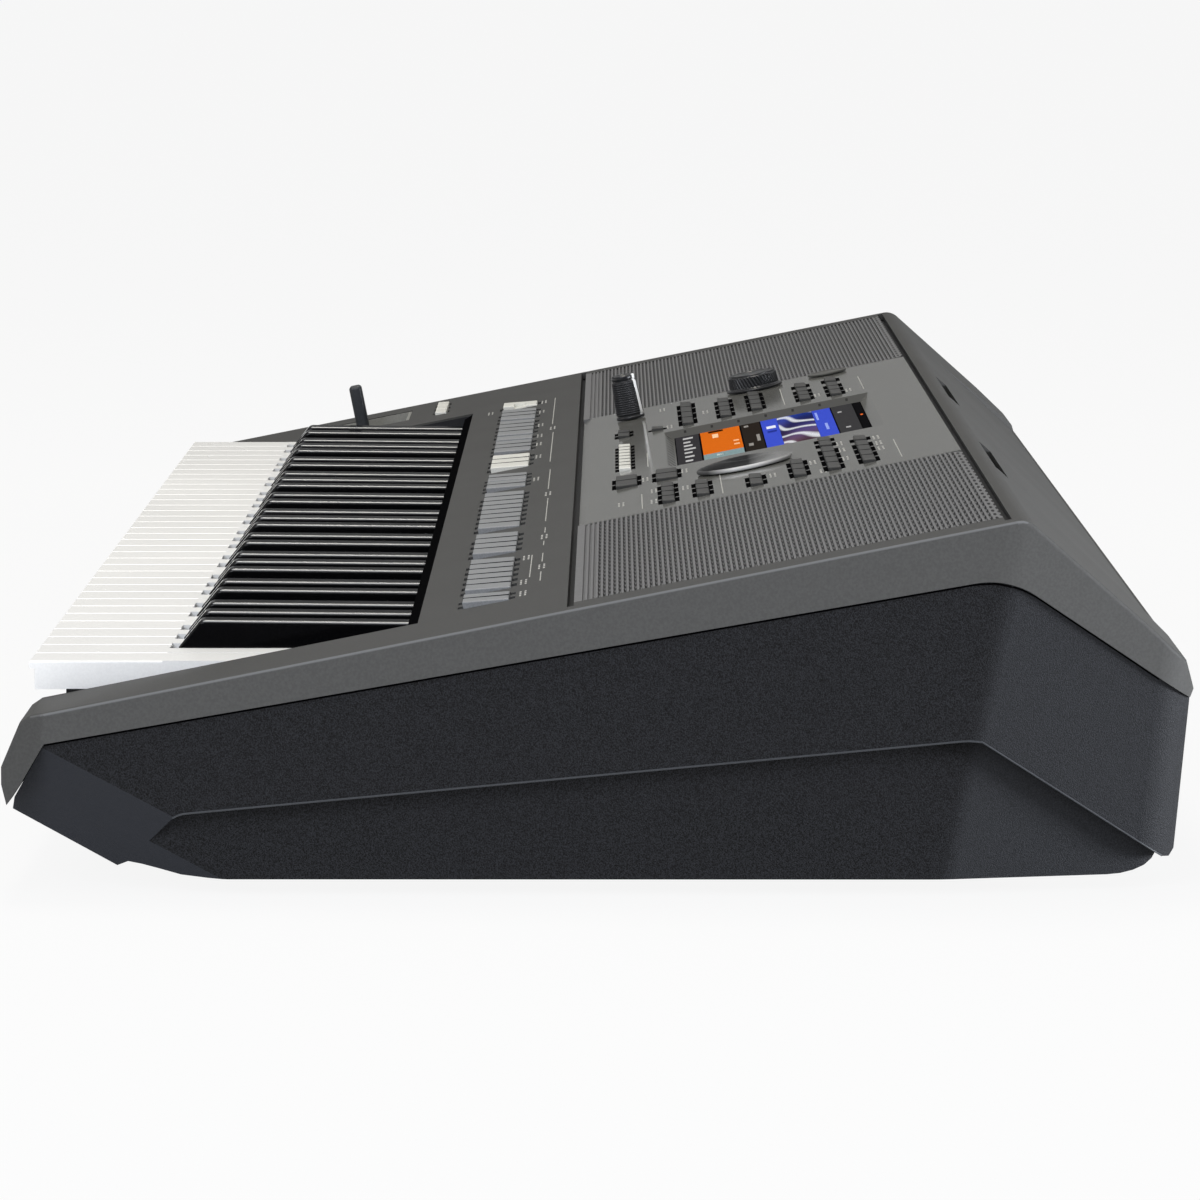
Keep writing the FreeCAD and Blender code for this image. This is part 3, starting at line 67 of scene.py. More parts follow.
# %% [markdown]
# A finish is a small tree of shader nodes. Colours are written as the hex values that a picture shows,
# but Blender mixes light in linear values, so one function converts them.
# A second one fills or links the sockets of a node. A third adds a node, sets its properties and fills it.
# All finishes use them.

# %% Small helpers for finishes
MM = 0.001


def linear(code):
    """Linear colour of a hex code: each channel is undone from the sRGB curve, and alpha is 1."""
    values = [int(code[i:i + 2], 16) / 255 for i in (1, 3, 5)]
    return tuple(v / 12.92 if v <= 0.04045 else ((v + 0.055) / 1.055) ** 2.4 for v in values) + (1.0,)


def fill(tree, made, sockets):
    """Fill a node's sockets, by name or number: another node's socket is linked, a value is set."""
    for name, value in sockets.items():
        if isinstance(value, bpy.types.NodeSocket):
            tree.links.new(value, made.inputs[name])
        else:
            made.inputs[name].default_value = value


def node(tree, kind, sockets=None, **settings):
    """Add one node: kind is its type without the word ShaderNode, settings are its properties."""
    made = tree.nodes.new("ShaderNode" + kind)
    for name, value in settings.items():
        setattr(made, name, value)
    fill(tree, made, sockets or {})
    return made


def new_finish(name):
    """A fresh material with its shader and the Object coordinates, which are metres in the CAD frame."""
    material = bpy.data.materials.new(name)
    material.use_nodes = True
    tree = material.node_tree
    shader = tree.nodes["Principled BSDF"]
    return material, tree, shader, node(tree, "TexCoord").outputs["Object"]


print("middle grey in linear light:", round(linear("#808080")[0], 3))

# %% [markdown]
# Most parts are injection-moulded ABS. What the eye sees is one colour that drifts slightly,
# a fine grain from the etched mould that breaks up the shine, and a roughness that varies a little.
# One recipe makes them all: two noises, one at the grain's real size and one as wide as a hand,
# drive colour, roughness and bump.

# %% Moulded plastic recipe
DRIFT_MM, ROUGH_DRIFT, BUMP_STRENGTH = 120, 0.06, 0.6


def moulded(name, colour, fleck, grain_mm, depth_mm, rough, gloss, drift=0.5):
    """ABS with an etched grain: fine noise mixes colour and fleck and raises the bump, wide noise drifts."""
    material, tree, shader, place = new_finish(name)
    fine = node(tree, "TexNoise", {"Vector": place, "Scale": 1 / (grain_mm * MM), "Detail": 3.0})
    wide = node(tree, "TexNoise", {"Vector": place, "Scale": 1 / (DRIFT_MM * MM), "Detail": 2.0})
    spread = node(tree, "MapRange", {"Value": fine.outputs["Fac"], "From Min": 0.35, "From Max": 0.65})
    amount = node(tree, "Math", {0: wide.outputs["Fac"], 1: drift, 2: spread.outputs["Result"]},
                  operation="MULTIPLY_ADD")
    amount = node(tree, "Math", {0: amount.outputs["Value"], 1: drift / 2}, operation="SUBTRACT",
                  use_clamp=True)
    paint = node(tree, "Mix", {0: amount.outputs["Value"], 6: linear(colour), 7: linear(fleck)},
                 data_type="RGBA")
    sway = ROUGH_DRIFT * drift
    worn = node(tree, "MapRange", {"Value": wide.outputs["Fac"], "From Min": 0.3, "From Max": 0.7,
                                   "To Min": rough - sway, "To Max": rough + sway})
    bump = node(tree, "Bump", {"Height": fine.outputs["Fac"], "Distance": depth_mm * MM,
                               "Strength": BUMP_STRENGTH})
    fill(tree, shader, {"Base Color": paint.outputs[2], "Roughness": worn.outputs["Result"],
                        "Normal": bump.outputs["Normal"], "Specular IOR Level": gloss})
    return material


print("colour drifts over", DRIFT_MM, "mm")

# %% [markdown]
# The upper case is satin grey ABS, the lower case a charcoal with a coarse spark-eroded grain.
# The real grain of the charcoal is finer than a pixel, so it is drawn at 0.42 mm, coarse enough to show.
# Keys are polished, so their grain is almost nothing and their roughness is low.
# Caps and knobs come from smaller moulds with a finer texture. The plate wears a silky paint that shines
# at a flat angle. Rubber, silicone and pressed paper are dull, and paper has the deepest grain of the three.

# %% Plastic finishes
# Each line gives the name, two shades, grain and its depth in millimetres, roughness and gloss.
# The charcoal also has its own drift, because its wide shades hardly vary.
satin_grey = moulded("satin_abs_grey", "#434342", "#484847", 0.9, 0.02, 0.5, 0.06)
charcoal = moulded("spark_eroded_abs_charcoal", "#020202", "#222326", 0.42, 0.4, 0.5, 0.12, 0.1)
plate_paint = moulded("silk_painted_plate", "#666662", "#6b6b67", 0.7, 0.004, 0.12, 0.4)
black_inner = moulded("black_abs_inner", "#111112", "#1a1a1b", 1.0, 0.05, 0.6, 0.15)
white_key = moulded("polished_abs_white", "#f0f0ee", "#f5f5f3", 0.8, 0.002, 0.3, 0.3)
black_key = moulded("polished_abs_black", "#040405", "#070708", 0.8, 0.001, 0.07, 0.2)
cap_grey = moulded("moulded_abs_blue_grey", "#7b7d7f", "#888a8c", 0.6, 0.01, 0.42, 0.3)
cap_white = moulded("moulded_abs_off_white", "#cfcfc8", "#dadad4", 0.6, 0.01, 0.42, 0.3)
cap_dark = moulded("moulded_abs_dark_grey", "#333332", "#3f3f3e", 0.6, 0.02, 0.45, 0.2)
dish_grey = moulded("moulded_abs_dish_grey", "#7b7b77", "#84847f", 0.8, 0.02, 0.5, 0.3)
stick_black = moulded("soft_touch_abs_black", "#1f2226", "#2a2d31", 0.5, 0.02, 0.4, 0.4)
disc_grey = moulded("moulded_abs_disc_grey", "#454542", "#4f4f4c", 0.6, 0.01, 0.4, 0.2)
foot_rubber = moulded("moulded_rubber_black", "#151515", "#1e1e1e", 0.7, 0.06, 0.8, 0.2)
dome_silicone = moulded("moulded_silicone_white", "#c9c7bd", "#d3d1c8", 0.7, 0.02, 0.5, 0.4)
cone_paper = moulded("pressed_paper_cone", "#1b1b1b", "#2a2a29", 0.5, 0.08, 0.85, 0.15)
print("materials so far:", len(bpy.data.materials))

# %% [markdown]
# The long top edges of the upper case are rounded by 1.6 mm and carry a painted highlight.
# The slanted facet at the front of the lower case is painted lighter than the grain around it, and the
# tapered rear sides are painted paler: both are painted light. The walls of the display's frame are matt,
# unlike the plate they belong to, and painted darker as painted shade. A black key has a dull flat top,
# and the pale line along its rounded edges is a painted highlight.
# Separate pieces would need cut meshes. All of these places differ in the direction of the surface instead,
# which a finish can read.

# %% Painted light and shade by the direction of the surface
def toned(material, direction, low, high, colour, most=1.0, dull=False):
    """Mix in a colour where the surface faces a direction, to paint light or shade there.

    The dot product of the direction and the normal, whose sideways part is made positive, says how near
    they are. The colour starts at the low value and is full at the high one. Dull fades the gloss alike.
    """
    tree = material.node_tree
    shader = tree.nodes["Principled BSDF"]
    paint = shader.inputs["Base Color"].links[0].from_socket
    normal = node(tree, "NewGeometry").outputs["Normal"]
    split = node(tree, "SeparateXYZ", {"Vector": normal})
    side = node(tree, "Math", {0: split.outputs["X"]}, operation="ABSOLUTE")
    out = node(tree, "CombineXYZ", {"X": side.outputs[0], "Y": split.outputs["Y"], "Z": split.outputs["Z"]})
    near = node(tree, "VectorMath", {0: out.outputs["Vector"], 1: tuple(Vector(direction).normalized())},
                operation="DOT_PRODUCT")
    facing_share = node(tree, "MapRange", {"Value": near.outputs["Value"], "From Min": low, "From Max": high,
                                  "To Max": most})
    mix = node(tree, "Mix", {0: facing_share.outputs["Result"], 6: paint, 7: linear(colour)}, data_type="RGBA")
    tree.links.new(mix.outputs[2], shader.inputs["Base Color"])
    if dull:
        level = shader.inputs["Specular IOR Level"]
        soft = node(tree, "MapRange", {"Value": near.outputs["Value"], "From Min": low, "From Max": high,
                                       "To Min": level.default_value, "To Max": 0.0})
        tree.links.new(soft.outputs["Result"], level)


# Painted highlight on the rounded top edges of the upper case.
toned(satin_grey, (1.0, 0.0, 0.9), 0.9, 0.99, "#666768")
# Painted light: the front facet of the lower case is lighter and its rear-facing sides are paler.
toned(charcoal, (0.844, -0.254, -0.473), 0.975, 0.985, "#282a2f")
toned(charcoal, (0.0, 1.0, 0.0), 0.08, 0.19, "#3d3f43", most=0.17)
# Painted shade on the walls of the display's frame, which also lose the plate's gloss.
toned(plate_paint, (1.0, 0.0, 0.7), 0.8, 0.9, "#4f4f4d", dull=True)
toned(black_key, (0.0, 0.0, 1.0), 0.95, 1.0012, "#040405", dull=True)
# Painted highlight along the rounded edges of the black keys.
toned(black_key, (1.0, 0.0, 0.95), 0.97, 0.996, "#a0a0a0")
print("toned finishes:", satin_grey.name, charcoal.name, plate_paint.name, black_key.name)

# %% [markdown]
# A few inner parts are not plastic: drawn or stamped steel, a ferrite magnet, green circuit boards and felt.
# Steel is metallic with streaks along the drawing direction. A board is green lacquer over copper tracks.
# Ferrite is a dark, dull ceramic, and felt is matted wool without shine.
# The plastic recipe serves both.

# %% Steel, board, ferrite and felt
STREAK_MM, ROUGH_STREAK = (16.667, 0.4, 0.4), 0.1
BRICK_MM = 12


def drawn_steel(name, colour, rough):
    """Steel with fine streaks: noise stretched along X changes roughness and shade."""
    material, tree, shader, place = new_finish(name)
    turn = node(tree, "Mapping", {"Vector": place, "Scale": tuple(1 / (size * MM) for size in STREAK_MM)})
    streak = node(tree, "TexNoise", {"Vector": turn.outputs["Vector"], "Scale": 1.0, "Detail": 2.0})
    paint = node(tree, "Mix", {0: streak.outputs["Fac"], 6: linear(colour), 7: linear("#c9c9c7")},
                 data_type="RGBA")
    worn = node(tree, "MapRange", {"Value": streak.outputs["Fac"], "To Min": rough - ROUGH_STREAK,
                                   "To Max": rough + ROUGH_STREAK})
    fill(tree, shader, {"Base Color": paint.outputs[2], "Roughness": worn.outputs["Result"], "Metallic": 1.0})
    return material


def circuit_board(name):
    """Green lacquer with lighter tracks: the joints of bricks, half a BRICK_MM long and a quarter high."""
    material, tree, shader, place = new_finish(name)
    track = node(tree, "TexBrick", {"Vector": place, "Color1": linear("#12421f"),
                                    "Color2": linear("#154a24"), "Mortar": linear("#2c6b3c"),
                                    "Scale": 1 / (BRICK_MM * MM), "Mortar Size": 0.03})
    bump = node(tree, "Bump", {"Height": track.outputs["Fac"], "Distance": 0.04 * MM})
    fill(tree, shader, {"Base Color": track.outputs["Color"], "Normal": bump.outputs["Normal"],
                        "Roughness": 0.35})
    return material


steel = drawn_steel("drawn_steel", "#8d8d8c", 0.35)
board_green = circuit_board("lacquered_board_green")
ferrite = moulded("sintered_ferrite_grey", "#232323", "#303031", 1.1, 0.06, 0.6, 0.3)
wool_felt = moulded("pressed_wool_felt_red", "#5a1414", "#7a2424", 0.6, 0.4, 0.95, 0.1)
print("inner finishes: steel, board, ferrite, felt")

# %% [markdown]
# The speaker grilles are ribbed plates with rows of slots between the ribs. The ribs are in the CAD model.
# The slots are too many to cut, so the finish draws them: a row number from Y, a staggered count along X,
# and a dark lens shape, painted shade for the hole, wherever a point is inside its slot. The sizes are those
# of the real ribs.

# %% Slotted grille finish
RISE = 0.1994
TILT = math.atan(RISE)
DECK_FRONT, TOP_REAR = -10.0, 144.0
RIB_PITCH, RIB_MARGIN, GROOVE = 1.835, 2.0, 2.4
SLOT_PITCH, SLOT_LENGTH, SLOT_DEPTH = 12.0, 7.4, 0.4
SLOT_MIDDLE, SLOT_HALF, PLAIN_ROWS = 0.725, 0.30, 3.0


def slotted_grille(name):
    """Grey sheet with dark slots: inside one where the two fractions, squared and added, stay under one."""
    material, tree, shader, place = new_finish(name)
    split = node(tree, "SeparateXYZ", {"Vector": place})
    first = (DECK_FRONT / math.cos(TILT) + GROOVE / 2 + RIB_MARGIN) * math.cos(TILT)
    pitch = RIB_PITCH * math.cos(TILT)
    row = node(tree, "Math", {0: split.outputs["Y"], 1: 1 / (pitch * MM), 2: -first / pitch},
               operation="MULTIPLY_ADD")
    number = node(tree, "Math", {0: row.outputs[0]}, operation="FLOOR")
    across = node(tree, "Math", {0: row.outputs[0]}, operation="FRACT")
    shift = node(tree, "Math", {0: number.outputs[0], 1: 0.5}, operation="MULTIPLY")
    count = node(tree, "Math", {0: split.outputs["X"], 1: 1 / (SLOT_PITCH * MM), 2: shift.outputs[0]},
                 operation="MULTIPLY_ADD")
    along = node(tree, "Math", {0: count.outputs[0]}, operation="FRACT")
    off_row = node(tree, "Math", {0: across.outputs[0], 1: SLOT_MIDDLE}, operation="SUBTRACT")
    off_count = node(tree, "Math", {0: along.outputs[0], 1: 0.5}, operation="SUBTRACT")
    wide = node(tree, "Math", {0: off_row.outputs[0], 1: 1 / SLOT_HALF}, operation="MULTIPLY")
    long = node(tree, "Math", {0: off_count.outputs[0], 1: 2 * SLOT_PITCH / SLOT_LENGTH},
                operation="MULTIPLY")
    wide_square = node(tree, "Math", {0: wide.outputs[0], 1: 2.0}, operation="POWER")
    long_square = node(tree, "Math", {0: long.outputs[0], 1: 2.0}, operation="POWER")
    far = node(tree, "Math", {0: wide_square.outputs[0], 1: long_square.outputs[0]}, operation="ADD")
    edge = node(tree, "MapRange", {"Value": far.outputs[0], "From Min": 0.7, "From Max": 1.1})
    plain = node(tree, "Math", {0: number.outputs[0], 1: PLAIN_ROWS}, operation="LESS_THAN")
    solid = node(tree, "Math", {0: edge.outputs["Result"], 1: plain.outputs[0]}, operation="MAXIMUM")
    fine = node(tree, "TexNoise", {"Vector": place, "Scale": 1 / (1.5 * MM)})
    sheet = node(tree, "Mix", {0: fine.outputs["Fac"], 6: linear("#626263"), 7: linear("#727273")},
                 data_type="RGBA")
    # The near-black inside each slot is painted shade for the hole.
    paint = node(tree, "Mix", {0: solid.outputs[0], 6: linear("#050506"), 7: sheet.outputs[2]},
                 data_type="RGBA")
    bump = node(tree, "Bump", {"Height": solid.outputs[0], "Distance": SLOT_DEPTH * MM, "Strength": 0.8})
    fill(tree, shader, {"Base Color": paint.outputs[2], "Normal": bump.outputs["Normal"], "Roughness": 0.5,
                        "Specular IOR Level": 0.1})
    return material


grille_sheet = slotted_grille("painted_slotted_grille")
print("grille rows:", int((TOP_REAR - DECK_FRONT) / math.cos(TILT) / RIB_PITCH))

# %% [markdown]
# The display is covered by a dark sheet with an anti-glare etch, so it mirrors almost nothing:
# a high roughness, hardly any gloss, and the faintest dust.

# %% Display glass finish
dark_glass = moulded("etched_acrylic_cover", "#0a0a0b", "#0f0f10", 2.0, 0.001, 0.9, 0.0)
print("cover finish:", dark_glass.name)

# %% [markdown]
# Each CAD node keeps its shape, which is already right, and only changes its finish.
# A table from finish to nodes shows at a glance which pieces are made of the same stuff.

# %% Give the CAD nodes their finishes
finishes = {
    satin_grey: ["upper_case", "rest_rail", "rear_slope"],
    charcoal: ["lower_case", "rear_wall"],
    plate_paint: ["center_panel"],
    grille_sheet: ["grille_left", "grille_right"],
    black_inner: ["top_baffle", "key_chassis", "rear_panel", "phone_jacks", "power_inlet", "display_module",
                  "tact_switches", "joystick_gimbal"],
    white_key: ["keys_" + n for n in "cdefgab"],
    black_key: ["keys_%s_sharp" % n for n in "cdfga"],
    cap_grey: ["row_buttons_left", "row_buttons_mid", "row_buttons_right"],
    cap_white: ["row_buttons_white", "power_button", "cheek_buttons", "memory_buttons"],
    cap_dark: ["panel_buttons_left", "panel_buttons_front", "panel_buttons_right"],
    dish_grey: ["joystick_base"],
    stick_black: ["joystick_stick", "tall_knob", "wide_knob", "disc_knob"],
    steel: ["pivot_rod", "usb_ports", "speaker_baskets", "control_pots", "case_screws", "data_dial"],
    board_green: ["contact_board", "row_board", "panel_board", "main_board", "jack_board"],
    ferrite: ["speaker_magnets"],
    cone_paper: ["speaker_cones"],
    wool_felt: ["key_felt"],
    dome_silicone: ["contact_domes"],
    foot_rubber: ["feet"],
    dark_glass: ["display_glass"],
}
for finish, names in finishes.items():
    for name in names:
        nodes[name].data.materials.clear()
        nodes[name].data.materials.append(finish)
print("nodes with a finish:", sum(len(names) for names in finishes.values()), "of", len(nodes))

# %% [markdown]
# The control panel slopes up towards the back. A place on it is given by x along the keys,
# v up the slope and w straight out of it, all in millimetres. One function turns these into metres in the
# frame, so that each piece can be written as if the panel lay flat.
# New pieces are grids of points: two directions, quads between neighbours.

# %% Places on the panel and grid meshes
PANEL_HEIGHT = 102.91
PANEL_MIDDLE = 10.5


def on_panel(x, v, w):
    """Point in the frame: x is moved by the panel's middle, v and w are turned by its tilt and raised."""
    x, v, w = np.broadcast_arrays(x + PANEL_MIDDLE, v, w)
    lean, up = math.cos(TILT), math.sin(TILT)
    return np.stack([x, v * lean - w * up, PANEL_HEIGHT + v * up + w * lean], axis=-1) * MM


def grid_mesh(name, points, close_u=False, close_v=False):
    """Mesh from a grid of points: neighbours in both directions make quads, a closed way joins its ends."""
    rows, columns = points.shape[:2]
    index = np.arange(rows * columns).reshape(rows, columns)
    if close_u:
        index = np.vstack([index, index[:1]])
    if close_v:
        index = np.hstack([index, index[:, :1]])
    faces = np.stack([index[:-1, :-1], index[1:, :-1], index[1:, 1:], index[:-1, 1:]], axis=-1).reshape(-1, 4)
    mesh = bpy.data.meshes.new(name)
    mesh.from_pydata(points.reshape(-1, 3).tolist(), [], faces.tolist())
    mesh.update()
    return mesh


def put(name, mesh, finish):
    """Object at the origin for a mesh that is already in place, with one finish."""
    made = bpy.data.objects.new(name, mesh)
    made.data.materials.append(finish)
    scene.collection.objects.link(made)
    return made


def paint_points(mesh, name, kind, field, values):
    """Store one value per point under a name that a finish can read."""
    layer = mesh.attributes.new(name, kind, "POINT")
    layer.data.foreach_set(field, np.asarray(values, dtype=np.float32).ravel())


print("panel tilt in degrees:", round(math.degrees(TILT), 2))

# %% [markdown]
# The display is a liquid-crystal panel with a lamp behind it. It glows faintly through a fine grid.
# An image could be laid on it, but flat tiles that each carry their own colour need none and stay sharp.
# The finish reads that colour as both paint and light.

# %% Display finish
CELL_MM = 0.25


def lit_screen(name):
    """Glowing tile: the point colour is paint and light, dimmed along the joints of small bricks."""
    material, tree, shader, place = new_finish(name)
    tint = node(tree, "Attribute", attribute_name="tint")
    pixels = node(tree, "TexBrick", {"Vector": place, "Color1": linear("#ffffff"),
                                     "Color2": linear("#ffffff"), "Mortar": linear("#dadada"),
                                     "Scale": 1 / (CELL_MM * MM), "Mortar Size": 0.04})
    shade = node(tree, "Mix", {0: 1.0, 6: tint.outputs["Color"], 7: pixels.outputs["Color"]},
                 data_type="RGBA", blend_type="MULTIPLY")
    fill(tree, shader, {"Base Color": shade.outputs[2], "Emission Color": shade.outputs[2],
                        "Emission Strength": 0.12, "Roughness": 0.9, "Specular IOR Level": 0.0})
    return material


def tiles(name, rows, w, finish):
    """Flat quads on the panel: each row gives left, right, front, rear and a colour, at the height w."""
    edges = np.array([row[:4] for row in rows], dtype=float)
    corners = on_panel(edges[:, [0, 1, 1, 0]], edges[:, [2, 2, 3, 3]], w)
    mesh = bpy.data.meshes.new(name)
    mesh.from_pydata(corners.reshape(-1, 3).tolist(), [], np.arange(4 * len(rows)).reshape(-1, 4).tolist())
    paint_points(mesh, "tint", "FLOAT_COLOR", "color", np.repeat([linear(row[4]) for row in rows], 4, axis=0))
    return put(name, mesh, finish)


screen_light = lit_screen("backlit_lcd")
print("screen finish:", screen_light.name)

# %% [markdown]
# The display shows a list, an orange field, a blue field with a bright picture, and dark margins.
# Each is a tile just above the glass, given by its left, right, front and rear edges and its colour.
# Short bars lie a hair higher, so that no two tiles share a plane.

# %% Display tiles
GLASS = -3.0
LEFT, RIGHT = -87.5, 64.5
BAR_FRONT, BAR_LENGTH = 35.2, 7.0
blocks = [(LEFT, RIGHT, 32.0, 42.2, "#353437"), (LEFT, RIGHT, 43.0, 60.2, "#d0661a"),
          (LEFT, RIGHT, 60.9, 69.2, "#292420"), (LEFT, RIGHT, 69.7, 76.9, "#3c4fc4"),
          (LEFT, RIGHT, 92.5, 100.4, "#3c4fc4"), (LEFT, RIGHT, 101.0, 110.2, "#3a3a3c"),
          (LEFT, RIGHT, 110.8, 113.8, "#121214")]
bars = [(x, x + BAR_LENGTH, BAR_FRONT, BAR_FRONT + wide, "#b9b9bb") for x, wide in
        zip((-78, -60, -44, -28, -12, 6, 24), (4.4, 3.1, 3.8, 5.0, 3.4, 4.0, 3.2))]
bars += [(-86, -78, 46.5, 53.0, "#2a1608"), (-70, -52, 48.0, 50.6, "#f2c9a0"),
         (-26, -20, 56.6, 59.0, "#f0b98a"), (-10, -4, 56.6, 59.0, "#f0b98a"),
         (16, RIGHT, 43.0, 60.2, "#7d9396"), (22, 30, 48.6, 51.4, "#d5e2e2"),
         (-80, -72, 62.2, 64.2, "#8d8a86"), (-30, 0, 66.6, 68.0, "#8d8a86"),
         (4, 16, 62.6, 64.6, "#8d8a86"), (-56, -44, 71.6, 75.6, "#dfe4f2"),
         (-34, -26, 71.6, 75.6, "#26338c"), (-76, -40, 93.4, 94.4, "#8fa0e6"),
         (-20, 10, 96.0, 97.2, "#8fa0e6"), (-60, -54, 103.0, 104.8, "#a7a7a9"),
         (14, 20, 104.0, 106.0, "#a7a7a9"), (-30, -24, 111.8, 112.9, "#e0662a")]
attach(tiles("display_blocks", blocks, GLASS + 0.05, screen_light), "case")
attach(tiles("display_bars", bars, GLASS + 0.10, screen_light), "case")
print("display tiles:", len(blocks) + len(bars))

# %% [markdown]
# The bright picture in the blue field has pale bands that sweep across it from blue to brown.
# It is a grid of points whose colours come from two waves: one darkens and lights the ground in broad bands,
# and the other, bent by the first, adds the glints. So it needs no image.

# %% Display picture
PICTURE_FRONT, PICTURE_DEPTH = 77.0, 15.4
along, across = np.meshgrid(np.linspace(0, 1, 90), np.linspace(0, 1, 40), indexing="ij")
band = np.sin(9.0 * along + 2.2 * across + 1.5 * np.sin(2.5 * across))
glint = np.clip(np.sin(25.0 * along - 4.0 * across + 1.6 * band) * 1.1 - 0.35, 0, 1)[..., None]
cool, warm, pale = (np.array(linear(code)) for code in ("#26409a", "#6e4c3c", "#e9eef4"))
shade = cool * (1 - along[..., None]) + warm * along[..., None]
shade = shade * (0.35 + 0.65 * np.clip(band * 0.5 + 0.5, 0, 1)[..., None])
shade = shade * (1 - glint) + pale * glint
shade[..., 3] = 1.0
spots = on_panel(LEFT + (RIGHT - LEFT) * along, PICTURE_FRONT + PICTURE_DEPTH * across, GLASS + 0.05)
picture = grid_mesh("display_picture", spots)
paint_points(picture, "tint", "FLOAT_COLOR", "color", shade)
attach(put("display_picture", picture, screen_light), "case")
print("picture points:", along.size)

# %% [markdown]
# White ink marks the groups of buttons with long thin lines and small blocks of short bars.
# Screen-printed ink is a thin matt film, so it lies just above the panel, and wear makes its shade uneven.
# It could be painted into the panel's finish, but tiles keep each mark's place in plain millimetres.

# %% Printed lines
LINE_HALF, BAR_LONG, BAR_WIDE, INK_LIFT = 0.2, 3.8, 0.7, 0.04


def screen_ink(name):
    """Matt ink: the point colour, worn a little by a fine noise."""
    material, tree, shader, place = new_finish(name)
    tint = node(tree, "Attribute", attribute_name="tint")
    wear = node(tree, "TexNoise", {"Vector": place, "Scale": 1 / (0.6 * MM)})
    fade = node(tree, "MapRange", {"Value": wear.outputs["Fac"], "From Min": 0.3, "From Max": 0.7,
                                   "To Min": 0.75, "To Max": 1.0})
    shade = node(tree, "Mix", {0: 1.0, 6: tint.outputs["Color"], 7: fade.outputs["Result"]},
                 data_type="RGBA", blend_type="MULTIPLY")
    fill(tree, shader, {"Base Color": shade.outputs[2], "Roughness": 0.7})
    return material


ink = screen_ink("screen_printed_ink")
lines = [(-396, -250, -23.8), (-205, -62, -23.0), (-26, 60, -22.5), (98, 189, -22.2), (213, 232, -22.0),
         (262, 277, -22.0), (304, 378, -26.0), (304, 334, -21.9), (366, 396, -21.9), (-12, 49, 19.6),
         (158, 215, 16.4), (134, 217, 48.2), (-196, -112, 82.0), (-182, -112, 117.5), (138, 212, 119.0)]
marks = [(-384, -29.2), (-330, -29.7), (-257, -29.4), (-201, -29.2), (-159, -29.1), (-97, -28.5), (6, -28.2),
         (310, -28.1), (390, -28.0), (426, -27.7), (-228, -23.4), (80, -22.3), (247, -22.0), (350, -21.8),
         (-377, -55.5), (-208, 27.8), (-115, 30.3), (98, 34.4), (101, 18.2), (155, 21.4), (196, 21.1),
         (167, 34.0), (184, 8.1), (186, 68.7), (167, 85.3), (208, 88.1), (112, 98.0), (140, 98.0),
         (176, 98.1), (116, 112.9), (140, 113.0), (163, 113.0), (-153, 47.0), (-127, 97.0), (-122, 111.0)]
rows = [(low, high, v - LINE_HALF, v + LINE_HALF, "#a9a9a4") for low, high, v in lines]
rows += [(x + step, x + step + BAR_LONG, v + lift, v + lift + BAR_WIDE, "#b2b2ae") for x, v in marks
         for step in (-7.6, -2.2, 3.2) for lift in (-1.3, 0.5)]
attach(tiles("printed_lines", rows, INK_LIFT, ink), "case")
print("printed marks:", len(rows))

# %% [markdown]
# Knobs are turned shapes: a profile of radius and height swept round an axis that stands on the panel.
# Sweeping a grid gives every point its angle and height, so a knurl is just a small change of the radius.
# The tall knob's pale pointer line runs up one side and over the top, and the knurl stops beside it.

# %% Turned shapes
POINTER = math.radians(62)
MARK_INSIDE, MARK_FOOT, MARK_RISE = 2.5, 1.8, 0.1


def rounded_profile(points, steps):
    """Radius and height along straight runs between the points, with the given count of steps in each run."""
    points = np.array(points, dtype=float)
    runs = [points[i] + (points[i + 1] - points[i]) * np.linspace(0, 1, count, endpoint=False)[:, None]
            for i, count in enumerate(steps)]
    return np.vstack(runs + [points[-1:]]).T


def turned(name, finish, place, profile, columns, groove=None, pointer=0.0):
    """Sweep of a profile round the panel's normal: the angle falls so that faces look out.

    The groove function adds to the radius; the pointer, half its width in millimetres, stays smooth.
    """
    radius, height = (side[:, None] for side in profile)
    angle = np.linspace(2 * np.pi, 0, columns, endpoint=False)[None, :]
    radius, height, angle = np.broadcast_arrays(radius, height, angle)
    off = angle - POINTER
    mark = (np.abs(radius * np.sin(off)) < pointer) & (np.cos(off) > 0)
    mark = mark & (radius > MARK_INSIDE) & (height > MARK_FOOT)
    if groove:
        radius = radius + np.where(mark, MARK_RISE, groove(angle, height))
    x, v = place
    grid = on_panel(x + radius * np.cos(angle), v + radius * np.sin(angle), height)
    mesh = grid_mesh(name, grid, close_v=True)
    mesh.polygons.foreach_set("use_smooth", np.ones(len(mesh.polygons), dtype=bool))
    paint_points(mesh, "mark", "FLOAT", "value", mark)
    return put(name, mesh, finish)


def marked_plastic(name, colour, fleck, line, rough):
    """Knob plastic: fine grain in two shades, and the pointer colour where the mark is set."""
    material = moulded(name, colour, fleck, 0.5, 0.01, rough, 0.5)
    tree = material.node_tree
    shader = tree.nodes["Principled BSDF"]
    paint = shader.inputs["Base Color"].links[0].from_socket
    mark = node(tree, "Attribute", attribute_name="mark")
    both = node(tree, "Mix", {0: mark.outputs["Fac"], 6: paint, 7: linear(line)}, data_type="RGBA")
    tree.links.new(both.outputs[2], shader.inputs["Base Color"])
    return material


knob_black = marked_plastic("knurled_abs_black", "#101114", "#1d1e21", "#e4e4e2", 0.25)
print("knob finish:", knob_black.name)

# %% [markdown]
# The tall knob has a diamond knurl, cut by two sets of crossing spiral grooves. The wide one has a single
# spiral, and the low disc is smooth. Each profile lists radius and height from the foot to the middle of
# the top, followed by the count of steps in each run: many on a knurled grip, few elsewhere.

